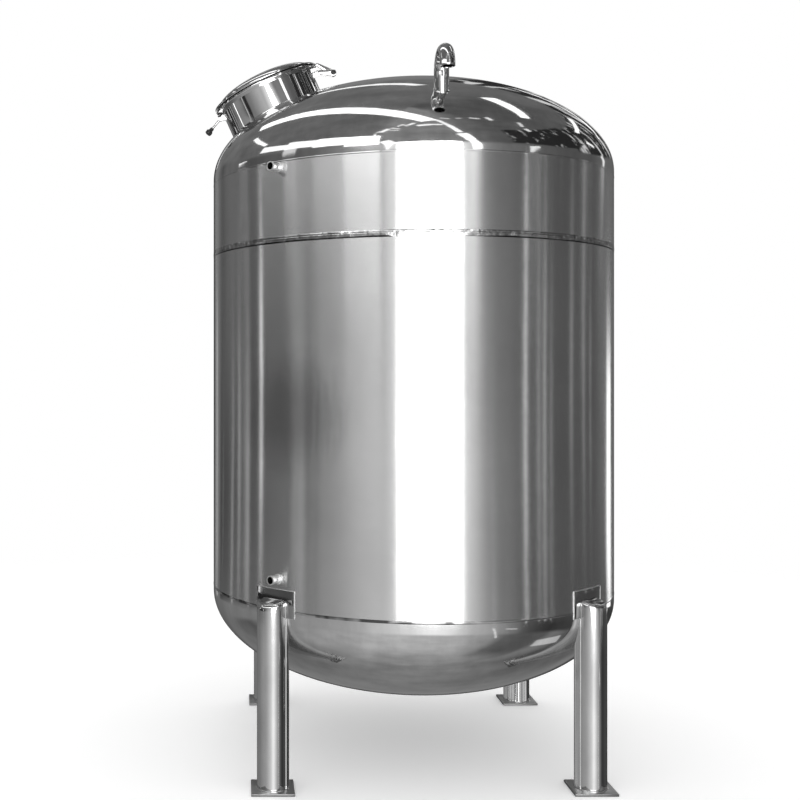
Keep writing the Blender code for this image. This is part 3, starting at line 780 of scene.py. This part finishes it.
neck_section = [
    (NECK_RADIUS, NECK_TOP), (NECK_RADIUS, NECK_MIDDLE), (NECK_RADIUS, NECK_STOCK_BOTTOM),
    (NECK_BORE, NECK_STOCK_BOTTOM), (NECK_BORE, NECK_MIDDLE), (NECK_BORE, NECK_TOP),
]
neck = moved(turned(neck_section, 144), manway_place)
cut(neck, top_solid, keep=True)
to_manway = manway_place.inverted()
neck_weld = bead_along(
    neck,
    lambda spot: abs((to_manway @ spot).xy.length - NECK_RADIUS) < 0.0004
    and (to_manway @ spot).z < 0.015,
    NECK_BEAD,
)
neck_polish = polished_steel("polished_neck", 0.045, 0.0014)
fit(neck, "neck_tube", neck_polish, ["manway_neck"])
fit(neck_weld, "neck_weld", polished)


# Manway rim, gasket and cover: a flat ring on the neck, a rubber ring on it, and a pressed
# cover with a low dome. Rim and cover have a notch for the swing bolt.
RIM_RADIUS = 0.252
RIM_TOP = 0.1083
GASKET_RADIUS = 0.232
GASKET_TOP = 0.1136
COVER_SEAT = 0.1139
COVER_TOP = 0.1219
DOME_RADIUS = 0.230
DOME_HEIGHT = 0.054
DOME_POINTS = 24
COVER_SHEET = 0.003
NOTCH_HALF = 0.010
NOTCH_DEPTH = 0.236
NOTCH_STOCK = 0.1

notch = block(NOTCH_STOCK, (-NOTCH_DEPTH - NOTCH_STOCK / 2, 0.0, 0.11))
notch.scale = (1.0, 2 * NOTCH_HALF / NOTCH_STOCK, 2.0)
settle(notch)
bpy.ops.object.mode_set(mode="EDIT")
choose(lambda spot: spot.x > -NOTCH_DEPTH - 0.001)
bpy.ops.mesh.bevel(offset=NOTCH_HALF * 0.98, segments=8, affect="EDGES")
bpy.ops.object.mode_set(mode="OBJECT")

rim_section = [
    (RIM_RADIUS, RIM_TOP), (RIM_RADIUS, NECK_TOP), (NECK_BORE, NECK_TOP), (NECK_BORE, RIM_TOP),
]
rim = cut(turned(rim_section, 192), notch, keep=True)
dress(rim, 0.0018, 3, 50.0)
fit(moved(rim, manway_place), "rim_ring", polished, ["manway_rim"])

rubber = Finish("black_rubber", (0.030, 0.030, 0.032), 0.0, 0.62)
bloom = rubber.noise((1.0, 1.0, 1.0), 60.0, 4.0)
rubber.drive("Base Color", rubber.ramp(bloom, (0.3, 0.022), (0.8, 0.050)))
rubber.drive("Normal", rubber.relief(bloom, 0.0001))
gasket_section = [
    (GASKET_RADIUS, GASKET_TOP - 0.001), (GASKET_RADIUS - 0.001, GASKET_TOP - 0.0024),
    (GASKET_RADIUS, RIM_TOP + 0.001), (GASKET_RADIUS - 0.001, RIM_TOP),
    (NECK_BORE + 0.001, RIM_TOP), (NECK_BORE, RIM_TOP + 0.001),
    (NECK_BORE, GASKET_TOP - 0.001), (NECK_BORE + 0.001, GASKET_TOP),
    (GASKET_RADIUS - 0.001, GASKET_TOP),
]
gasket = moved(turned(gasket_section, 144), manway_place)
fit(gasket, "gasket_ring", rubber, ["manway_gasket"], angle=60.0)

dome = ellipse(DOME_RADIUS, DOME_HEIGHT, DOME_POINTS)
hollow_height = DOME_HEIGHT - COVER_SHEET + COVER_TOP - COVER_SEAT
hollow = ellipse(DOME_RADIUS - COVER_SHEET, hollow_height, DOME_POINTS)
cover_section = [(radius, COVER_TOP + rise) for radius, rise in dome[::-1]]
cover_section += [(RIM_RADIUS, COVER_TOP), (RIM_RADIUS, COVER_SEAT)]
cover_section += [(radius, COVER_SEAT + rise) for radius, rise in hollow]
cover = cut(turned(cover_section, 192, closed=False), notch)
dress(cover, 0.0020, 3, 40.0)
fit(moved(cover, manway_place), "cover_dome", polished, ["manway_cover"], "cover")


# Manway hinge: two ears welded to the neck, a bent arm welded to the cover between them, and
# a pin with six-sided heads. Ears and arm are cut from plate and polished, the pin is dark.
HINGE_REACH = 0.314
HINGE_HEIGHT = 0.060
PIN_RADIUS = 0.006
PIN_HALF = 0.0223
PIN_STEPS = 40
PIN_HEAD_RADIUS = 0.0125
PIN_HEAD_INNER = 0.0144
PIN_HEAD_OUTER = 0.0222
PIN_CLEARANCE = 0.0002
DRILL_HALF = 0.05
BOSS_RADIUS = 0.014
ARM_HALF = 0.0065
ARM_SEAT = COVER_TOP + 0.0002
EAR_INNER = 0.0080
EAR_OUTER = 0.0140


def round_end(reach, height, radius, start, end):
    """Follow the round end of a lug, in degrees about its pin."""
    points = []
    for i in range(25):
        angle = math.radians(start + (end - start) * i / 24)
        points.append((reach + radius * math.cos(angle), height + radius * math.sin(angle)))
    return points


def cross_bar(radius, reach, height, low, high, steps):
    """Add a round bar that lies across the manway."""
    bpy.ops.object.select_all(action="DESELECT")
    bpy.ops.mesh.primitive_cylinder_add(
        vertices=steps, radius=radius, depth=high - low, location=(reach, (low + high) / 2, height),
        rotation=(math.pi / 2, 0.0, 0.0),
    )
    return settle(bpy.context.object)


def drill(item, radius, reach, height, steps):
    """Drill the hole of a pin of a certain radius across the manway."""
    drill_radius = radius + PIN_CLEARANCE
    return cut(item, cross_bar(drill_radius, reach, height, -DRILL_HALF, DRILL_HALF, steps))


def lug(outline, low, high, corner):
    """Draw a lug's outline, fill it, and give it its thickness."""
    item = drawn(outline + outline[:1], low)
    bpy.ops.mesh.edge_face_add()
    bpy.ops.mesh.extrude_region_move(TRANSFORM_OT_translate={"value": (0.0, high - low, 0.0)})
    bpy.ops.mesh.select_all(action="SELECT")
    bpy.ops.mesh.normals_make_consistent(inside=False)
    bpy.ops.object.mode_set(mode="OBJECT")
    return dress(settle(item), corner, 2)


ear_root = NECK_RADIUS + FIT_GAP
ear_outline = [(ear_root, 0.078), (0.256, 0.078)]
ear_outline += round_end(HINGE_REACH, HINGE_HEIGHT, BOSS_RADIUS, -125.0, 60.0)
ear_outline += [(0.262, NECK_TOP - 0.002), (ear_root, NECK_TOP - 0.002)]
for side, low, high in (("front", -EAR_OUTER, -EAR_INNER), ("rear", EAR_INNER, EAR_OUTER)):
    ear = lug(ear_outline, low, high, 0.0010)
    drill(ear, PIN_RADIUS, HINGE_REACH, HINGE_HEIGHT, PIN_STEPS)
    fit(moved(ear, manway_place), "hinge_lug_" + side, polished, ["hinge_ear_" + side])

arm_outline = [(0.232, ARM_SEAT), (0.258, ARM_SEAT)]
arm_outline += round_end(HINGE_REACH, HINGE_HEIGHT, BOSS_RADIUS, -142.0, 38.0)
arm_outline += [(0.270, ARM_SEAT + 0.006), (0.264, ARM_SEAT + 0.010), (0.232, ARM_SEAT + 0.010)]
arm = lug(arm_outline, -ARM_HALF, ARM_HALF, 0.0014)
drill(arm, PIN_RADIUS, HINGE_REACH, HINGE_HEIGHT, PIN_STEPS)
fit(moved(arm, manway_place), "cover_arm", polished, ["hinge_arm"], "cover")

dark = Finish("dark_steel", (0.045, 0.045, 0.048), 0.9, 0.45)
scuffs = dark.noise((1.0, 1.0, 1.0), 120.0, 4.0)
dark.drive("Roughness", scuffs * 0.3 + 0.30)
dark.drive("Base Color", dark.ramp(scuffs, (0.45, 0.035), (0.80, 0.12)))
pin = cross_bar(PIN_RADIUS, HINGE_REACH, HINGE_HEIGHT, -PIN_HALF, PIN_HALF, PIN_STEPS)
for low, high in ((-PIN_HEAD_OUTER, -PIN_HEAD_INNER), (PIN_HEAD_INNER, PIN_HEAD_OUTER)):
    cut(pin, cross_bar(PIN_HEAD_RADIUS, HINGE_REACH, HINGE_HEIGHT, low, high, 6), "UNION")
dress(pin, 0.0007, 2)
fit(moved(pin, manway_place), "hinge_bolt", dark, ["hinge_pin"])


# Swing bolt: an eye bolt on a pin between two ears under the rim. Swung up into the notches,
# its knob clamps the cover. Here it hangs down and out. The knob is black plastic.
BOLT_REACH = 0.246
BOLT_HEIGHT = 0.078
ROD_RADIUS = 0.005
ROD_START = 0.0045
ROD_LENGTH = 0.086
ROD_PITCH = 0.0015
ROD_THREAD_END = 0.034
EYE_RADIUS = 0.010
EYE_HALF = 0.0065
BOLT_PIN_RADIUS = 0.004
BOLT_PIN_HALF = 0.0168
BOLT_PIN_STEPS = 32
BOLT_EAR_INNER = 0.0078
BOLT_EAR_OUTER = 0.0128
BOLT_EAR_RADIUS = 0.009
HANG_ANGLE = math.radians(229.7)
KNOB_RADIUS = 0.015
KNOB_START = 0.056
KNOB_END = 0.0928
KNOB_BORE = ROD_RADIUS + FIT_GAP
KNOB_LOBES = 5
LOBE_BOTTOM = KNOB_END - 0.0195
LOBE_ROOT = 0.0115

bolt_ear_outline = [(-ear_root, 0.062), (-ear_root, 0.094)]
bolt_ear_outline += round_end(-BOLT_REACH, BOLT_HEIGHT, BOLT_EAR_RADIUS, 60.0, 300.0)
for side, low, high in (
    ("front", -BOLT_EAR_OUTER, -BOLT_EAR_INNER), ("rear", BOLT_EAR_INNER, BOLT_EAR_OUTER),
):
    ear = lug(bolt_ear_outline, low, high, 0.0008)
    drill(ear, BOLT_PIN_RADIUS, -BOLT_REACH, BOLT_HEIGHT, BOLT_PIN_STEPS)
    fit(moved(ear, manway_place), "bolt_lug_" + side, polished, ["bolt_ear_" + side])
bolt_pin = cross_bar(
    BOLT_PIN_RADIUS, -BOLT_REACH, BOLT_HEIGHT, -BOLT_PIN_HALF, BOLT_PIN_HALF, BOLT_PIN_STEPS
)
dress(bolt_pin, 0.0010, 2)
fit(moved(bolt_pin, manway_place), "bolt_pivot_pin", polished, ["bolt_pin"])

bolt_pivot = manway_place @ Vector((-BOLT_REACH, 0.0, BOLT_HEIGHT))
bolt_place = aimed(bolt_pivot, (math.cos(HANG_ANGLE), 0.0, math.sin(HANG_ANGLE)))
rod_section = [
    (0.0, ROD_LENGTH), (ROD_RADIUS - 0.0012, ROD_LENGTH), (ROD_RADIUS, ROD_LENGTH - ROD_PITCH),
]
height = ROD_LENGTH - ROD_PITCH
while height > ROD_THREAD_END:
    rod_section.append((ROD_RADIUS, height - 0.0002))
    rod_section.append((ROD_RADIUS - 0.0006, height - ROD_PITCH / 2))
    rod_section.append((ROD_RADIUS, height - 0.0013))
    height -= ROD_PITCH
rod_section += [(ROD_RADIUS, ROD_START), (0.0, ROD_START)]
rod = moved(turned(rod_section, 40, closed=False), bolt_place)
eye = cross_bar(EYE_RADIUS, bolt_pivot.x, bolt_pivot.z, -EYE_HALF, EYE_HALF, 64)
cut(eye, rod, "UNION")
drill(eye, BOLT_PIN_RADIUS, bolt_pivot.x, bolt_pivot.z, BOLT_PIN_STEPS)
fit(eye, "eye_bolt", polished, ["swing_bolt"], "swing_bolt", angle=45.0)

plastic = Finish("black_plastic", (0.018, 0.018, 0.019), 0.0, 0.42)
pitting = plastic.noise((1.0, 1.0, 1.0), 700.0, 2.0)
plastic.drive("Base Color", plastic.ramp(pitting, (0.3, 0.014), (0.8, 0.028)))
plastic.drive("Normal", plastic.relief(pitting, 0.00004))
knob_section = [
    (0.0, KNOB_END), (0.0090, KNOB_END), (0.0125, KNOB_END - 0.0012), (0.0144, KNOB_END - 0.0040),
    (KNOB_RADIUS, KNOB_END - 0.0075), (KNOB_RADIUS, KNOB_END - 0.0160),
    (0.0140, KNOB_END - 0.0190), (0.0100, KNOB_END - 0.0225), (0.0090, KNOB_END - 0.0260),
    (0.0086, KNOB_START + 0.001), (0.0078, KNOB_START), (KNOB_BORE, KNOB_START),
    (KNOB_BORE, ROD_LENGTH + FIT_GAP), (0.0, ROD_LENGTH + FIT_GAP),
]
knob = turned(knob_section, 80, closed=False)
bpy.ops.object.mode_set(mode="EDIT")
for lobe in range(KNOB_LOBES):
    angle = math.tau * (lobe + 0.5) / KNOB_LOBES
    valley = Vector((math.cos(angle), math.sin(angle), 0.0))
    for half_width, squeeze in ((22.0, 0.93), (15.0, 0.95), (8.0, 0.97)):
        limit = math.cos(math.radians(half_width))
        choose(lambda spot: spot.z > LOBE_BOTTOM and spot.xy.length > LOBE_ROOT
               and Vector((spot.x, spot.y, 0.0)).normalized().dot(valley) > limit)
        bpy.ops.transform.resize(value=(squeeze, squeeze, 1.0), center_override=(0.0, 0.0, 0.0))
bpy.ops.object.mode_set(mode="OBJECT")
fit(moved(knob, bolt_place), "star_knob", plastic, ["swing_bolt_knob"], "swing_bolt",
    50.0)
for item in (base_solid, top_solid):
    bpy.data.objects.remove(item)


# The floor is plain and pale, and fades out into the pale surroundings. The polished steel
# mirrors the dull underside of the studio instead, so that its curves read clearly.
FLOOR_SIDE = 60.0

bpy.ops.object.select_all(action="DESELECT")
bpy.ops.mesh.primitive_plane_add(size=FLOOR_SIDE, location=(0.0, 0.0, -0.0005))
floor = bpy.context.object
floor.name = "floor"
floor.visible_glossy = False
pale = Finish("pale_floor", (0.95, 0.95, 0.95), 0.0, 0.9)
pale.shader.inputs["Emission Color"].default_value = (1.0, 1.0, 1.0, 1.0)
pale.shader.inputs["Emission Strength"].default_value = 0.20
far = pale.node("ShaderNodeVectorMath", {"operation": "LENGTH"}, {0: pale.spot()}, "Value")
pale.drive("Alpha", pale.spread(far, 2.2, 6.0, 1.0, 0.0, "SMOOTHSTEP"))
floor.data.materials.append(pale.material)


# The surround is an even pale studio for all but the mirrors of the tank, which see grey walls,
# a floor and a roof of changing brightness, and dark corners with bars of light. Each list
# gives the brightness of one layer by bearing, from -180 round by 0 at the front to 180.
WALL_STOPS = [
    (-180, 0.03), (-168, 0.04), (-162, 0.24), (-155, 0.24), (-150, 0.16), (-144, 0.10),
    (-137, 0.17), (-128, 0.18), (-118, 0.17), (-110, 0.11), (-104, 0.12), (-90, 0.15),
    (-80, 0.13), (-63, 0.18), (-50, 0.28), (-42, 0.42), (-34, 0.56), (-27, 0.66), (-21, 0.66),
    (-18, 0.85), (-14, 1.15), (19, 1.30), (23, 1.05), (30, 0.68), (34, 0.38), (40, 0.26),
    (56, 0.19), (80, 0.13), (111, 0.11), (124, 0.18), (165, 0.10), (180, 0.03),
]
LOW_WALL_STOPS = [
    (-180, 0.08), (-150, 0.20), (-130, 0.26), (-110, 0.27), (-88, 0.36), (-68, 0.43),
    (-55, 0.46), (-42, 0.55), (-27, 0.74), (-14, 0.92), (-6, 1.12), (0, 1.35), (10, 1.30),
    (20, 0.92), (30, 0.64), (42, 0.40), (49, 0.29), (57, 0.13), (67, 0.07), (76, 0.045),
    (86, 0.07), (110, 0.08), (140, 0.05), (180, 0.04),
]
NEAR_GROUND_STOPS = [
    (-180, 0.25), (-150, 0.20), (-119, 0.14), (-90, 0.32), (-72, 0.46), (-54, 0.50),
    (-26, 0.64), (-2, 0.70), (22, 0.60), (39, 0.38), (48, 0.17), (55, 0.14), (64, 0.13),
    (76, 0.14), (83, 0.27), (91, 0.22), (99, 0.11), (120, 0.14), (139, 0.17), (150, 0.22),
    (180, 0.25),
]
GROUND_STOPS = [
    (-180, 0.30), (-118, 0.31), (-63, 0.42), (10, 0.43), (58, 0.36), (94, 0.28), (150, 0.31),
    (180, 0.30),
]
ROOF_STOPS = [
    (-180, 0.20), (-60, 0.19), (-28, 0.22), (-20, 0.32), (20, 0.30), (30, 0.21), (45, 0.14),
    (90, 0.12), (110, 0.125), (130, 0.135), (150, 0.17), (165, 0.20), (180, 0.20),
]


class Surround(Finish):
    """The surround of the studio, built of nodes as a finish is."""

    def __init__(self, world):
        self.tree = world.node_tree
        self.tree.nodes.clear()

    def by_bearing(self, bearing, stops):
        """Read a brightness that changes around the tank, from (bearing, brightness) pairs."""
        share = self.spread(bearing, -math.pi, math.pi)
        return self.ramp(share, *[((turn + 180) / 360, shade / 2) for turn, shade in stops]) * 2.0

    def step(self, reading, start, end):
        """Read 0 where a reading is under one value and 1 where it is over another."""
        return self.spread(reading, start, end, kind="SMOOTHSTEP")

    def above(self, rise, start, end):
        """Read 0 below one height of sight and 1 above another, both in degrees."""
        return self.step(rise, math.sin(math.radians(start)), math.sin(math.radians(end)))

    def between(self, bearing, start, end):
        """Read 1 between two bearings in degrees, with a soft edge of three degrees."""
        start, end, soft = math.radians(start), math.radians(end), math.radians(3.0)
        return self.step(bearing, start - soft, start) - self.step(bearing, end, end + soft)


world = bpy.data.worlds.new("studio")
bpy.context.scene.world = world
world.use_nodes = True
studio = Surround(world)
sight = studio.node("ShaderNodeTexCoord", {}, {}, "Generated")
east, north, rise = (
    studio.node("ShaderNodeSeparateXYZ", {}, {0: sight}, axis) for axis in ("X", "Y", "Z")
)
bearing = east.maths("ARCTAN2", east, north * -1.0)
patches = studio.node("ShaderNodeTexNoise", {}, {"Vector": sight, "Scale": 5.0, "Detail": 3.0})
walls = studio.by_bearing(bearing, WALL_STOPS)
low_walls = studio.by_bearing(bearing, LOW_WALL_STOPS)
near_ground = studio.by_bearing(bearing, NEAR_GROUND_STOPS) * (patches * 0.5 + 0.75)
surround = studio.by_bearing(bearing, GROUND_STOPS) * (patches * 0.8 + 0.60)
roof = studio.by_bearing(bearing, ROOF_STOPS) * (patches * 0.8 + 0.60)
for layer, start, end in (
    (near_ground, -78, -52), (low_walls, -27, -21), (walls, -13, -8), (roof, 12, 17),
):
    surround = surround + (layer - surround) * studio.above(rise, start, end)
for start, end, low, high, fine, least, shade in (
    (-148, -60, -12, -1, 9.0, 0.585, 0.80), (52, 100, 15, 40, 16.0, 0.61, 0.70),
    (100, 166, 12, 38, 16.0, 0.54, 0.80),
):
    bars_place = studio.node("ShaderNodeCombineXYZ", {}, {"X": bearing * fine, "Y": rise * 5.0})
    bars = studio.node(
        "ShaderNodeTexNoise", {},
        {"Vector": bars_place, "Scale": 1.0, "Detail": 3.0, "Distortion": 0.6},
    )
    within = studio.between(bearing, start, end)
    within = within * studio.above(rise, low, low + 2) * (1.0 - studio.above(rise, high - 2, high))
    lit = studio.step(bars, least, least + 0.04) * shade + 0.03
    surround = surround + (lit - surround) * within
glossy = studio.node("ShaderNodeLightPath", {}, {}, "Is Glossy Ray")
seen = (surround - 1.0) * glossy + 1.0
glow = studio.node("ShaderNodeBackground", {}, {"Color": seen, "Strength": 1.0})
studio.node("ShaderNodeOutputWorld", {}, {"Surface": glow}, None)


# The light is that of a plain studio: tall soft panels that the shell mirrors as upright bands,
# bars that the heads mirror as bright patches, and long strips overhead. None is seen directly.
FAR = 9.0
WINDOW_DISTANCE = 7.5
ROOF_HEIGHT = 7.2
HIGH_EYE = (0.0, 0.0, 2.9)
LOW_EYE = (0.36, -0.82, 0.66)


def panel(name, centre, facing, along, width, height, radiance):
    """Add a soft light panel of a certain brightness, facing a way, with its width along a line."""
    bpy.ops.object.select_all(action="DESELECT")
    bpy.ops.object.light_add(type="AREA", location=centre)
    lamp = bpy.context.object
    lamp.name = name
    lamp.data.shape = "RECTANGLE"
    lamp.data.size = width
    lamp.data.size_y = height
    lamp.data.energy = radiance * math.pi * width * height
    back = -Vector(facing).normalized()
    side = Vector(along)
    side = (side - back * side.dot(back)).normalized()
    lamp.rotation_euler = Matrix((side, back.cross(side), back)).transposed().to_euler()
    lamp.visible_camera = False
    lamp.visible_diffuse = False


def wall_panel(name, start, end, distance, low, high, radiance):
    """Stand a panel at a distance, between two bearings in degrees and two heights."""
    middle = math.radians((start + end) / 2)
    out = Vector((math.sin(middle), -math.cos(middle), 0.0))
    centre = out * distance + Vector((0.0, 0.0, (low + high) / 2))
    width = 2 * distance * math.tan(math.radians((end - start) / 2))
    panel(name, centre, -out, (out.y, -out.x, 0.0), width, high - low, radiance)


def roof_strip(name, start, end, width, radiance):
    """Hang a long strip light overhead, from one place to another."""
    run = Vector((end[0] - start[0], end[1] - start[1], 0.0))
    centre = Vector(((start[0] + end[0]) / 2, (start[1] + end[1]) / 2, ROOF_HEIGHT))
    panel(name, centre, (0.0, 0.0, -1.0), run, run.length, width, radiance)


def sight_bar(name, start, end, width, radiance, eye=HIGH_EYE):
    """Hang a bar of light from one (bearing, height of sight) to another, both in degrees."""
    ends = []
    for turn, lift in (start, end):
        turn, lift = math.radians(turn), math.radians(lift)
        level = math.cos(lift)
        ends.append(Vector((math.sin(turn) * level, -math.cos(turn) * level, math.sin(lift))) * FAR)
    run = ends[1] - ends[0]
    middle = (ends[0] + ends[1]) / 2
    panel(name, Vector(eye) + middle, -middle, run, run.length, width, radiance)


wall_panel("front_panel", -14.0, 19.0, FAR, -0.95, 4.9, 4.0)
for name, start, end, low, high, radiance in (
    ("window_one", -98.0, -79.0, 4.9, 6.0, 1.6), ("window_two", -79.0, -60.0, 4.8, 6.5, 1.7),
    ("window_two_low", -78.5, -70.0, 3.95, 4.8, 0.8),
    ("window_three", -60.0, -42.0, 4.5, 6.7, 2.2), ("window_four", -42.0, -23.0, 4.1, 6.6, 2.8),
):
    wall_panel(name, start, end, WINDOW_DISTANCE, low, high, radiance)
for middle, width, low, high, radiance in (
    (-152.0, 2.5, -1.0, 2.6, 0.35), (-123.0, 0.9, 0.0, 1.6, 0.5), (-116.0, 1.6, -0.5, 2.0, 0.6),
    (-110.5, 0.8, 0.0, 1.8, 0.4), (-95.0, 2.0, 0.5, 2.8, 2.2), (54.2, 1.0, -1.0, 4.0, 1.9),
    (62.3, 0.8, -1.0, 2.6, 0.9), (66.2, 1.0, -1.0, 3.2, 1.0), (70.7, 0.8, -1.0, 2.4, 0.6),
    (86.0, 1.8, 0.6, 3.2, 0.45), (97.0, 1.5, 0.6, 3.6, 0.40), (104.0, 1.0, 0.6, 2.6, 0.45),
    (131.3, 9.0, -1.0, 1.9, 1.7),
):
    name = "slit_" + str(round(middle)).replace("-", "left_")
    wall_panel(name, middle - width / 2, middle + width / 2, FAR, low, high, radiance)
sight_bar("left_pane", (-122.0, 32.7), (-99.0, 25.5), 0.42, 1.8)
sight_bar("left_edge_bar", (-116.0, 8.0), (-108.0, 9.0), 0.12, 1.6)
sight_bar("left_rim_bar", (-157.0, 10.0), (-168.0, 36.0), 0.25, 0.9)
for number, (start, end, width, radiance) in enumerate((
    ((-26.8, 24.0), (-27.0, 31.0), 0.16, 1.3), ((-26.6, 32.5), (-24.5, 35.3), 0.22, 1.1),
    ((-23.8, 33.0), (-19.9, 39.7), 0.36, 1.4), ((-19.0, 36.5), (-14.0, 35.5), 0.14, 1.2),
    ((-18.6, 41.3), (-13.6, 38.4), 0.22, 1.1), ((-15.1, 43.5), (-12.1, 47.6), 0.18, 1.2),
    ((-12.0, 47.0), (-8.9, 43.6), 0.16, 1.0), ((-8.8, 45.4), (-4.8, 50.0), 0.26, 1.4),
    ((-3.8, 44.6), (5.2, 46.4), 0.46, 1.4), ((5.2, 46.4), (13.4, 45.4), 0.34, 1.4),
    ((9.0, 57.0), (13.0, 54.5), 0.30, 1.2), ((12.8, 54.6), (16.9, 43.4), 0.34, 1.4),
    ((16.9, 43.4), (20.4, 29.5), 0.46, 1.6), ((20.8, 27.5), (24.4, 16.0), 0.90, 1.8),
    ((23.6, 17.5), (27.4, 7.0), 0.80, 1.8), ((17.0, 59.0), (23.5, 57.0), 0.16, 1.1),
    ((29.0, 57.0), (34.0, 57.4), 0.14, 1.0), ((40.0, 57.0), (46.0, 54.4), 0.22, 1.3),
    ((55.0, 56.2), (53.0, 51.0), 0.30, 1.3),
)):
    sight_bar("arch_bit_" + str(number + 1), start, end, width, radiance)
sight_bar("arch_sill", (-20.5, 15.0), (-16.5, 9.0), 0.90, 1.6)
sight_bar("right_bit_one", (71.0, 46.0), (67.0, 40.0), 0.30, 1.0)
sight_bar("right_bit_two", (66.0, 37.0), (67.0, 33.0), 0.40, 1.2)
sight_bar("right_bit_three", (57.0, 8.0), (64.0, 9.5), 0.30, 1.2)
sight_bar("right_bit_four", (110.0, 21.0), (115.0, 17.0), 0.40, 1.4)
sight_bar("right_bit_five", (119.0, 11.0), (122.0, 7.0), 0.50, 1.0)
sight_bar("ground_bit_one", (78.0, -40.5), (96.0, -33.5), 1.50, 0.48, LOW_EYE)
sight_bar("ground_bit_two", (37.0, -13.0), (42.0, -31.0), 0.16, 0.8, LOW_EYE)
sight_bar("ground_bit_three", (45.0, -14.5), (52.0, -15.5), 0.16, 0.7, LOW_EYE)
roof_strip("roof_strip_long", (-4.05, 4.05), (0.27, -3.51), 0.75, 2.2)
roof_strip("roof_strip_rear", (-1.08, 6.90), (0.67, 3.27), 0.30, 1.4)
roof_strip("roof_strip_right", (1.97, 1.50), (3.87, -0.40), 0.58, 2.0)
roof_strip("roof_strip_far", (5.07, 4.40), (7.24, 2.85), 0.65, 1.8)
roof_strip("roof_strip_edge", (3.14, 7.57), (8.00, 9.30), 0.60, 1.4)
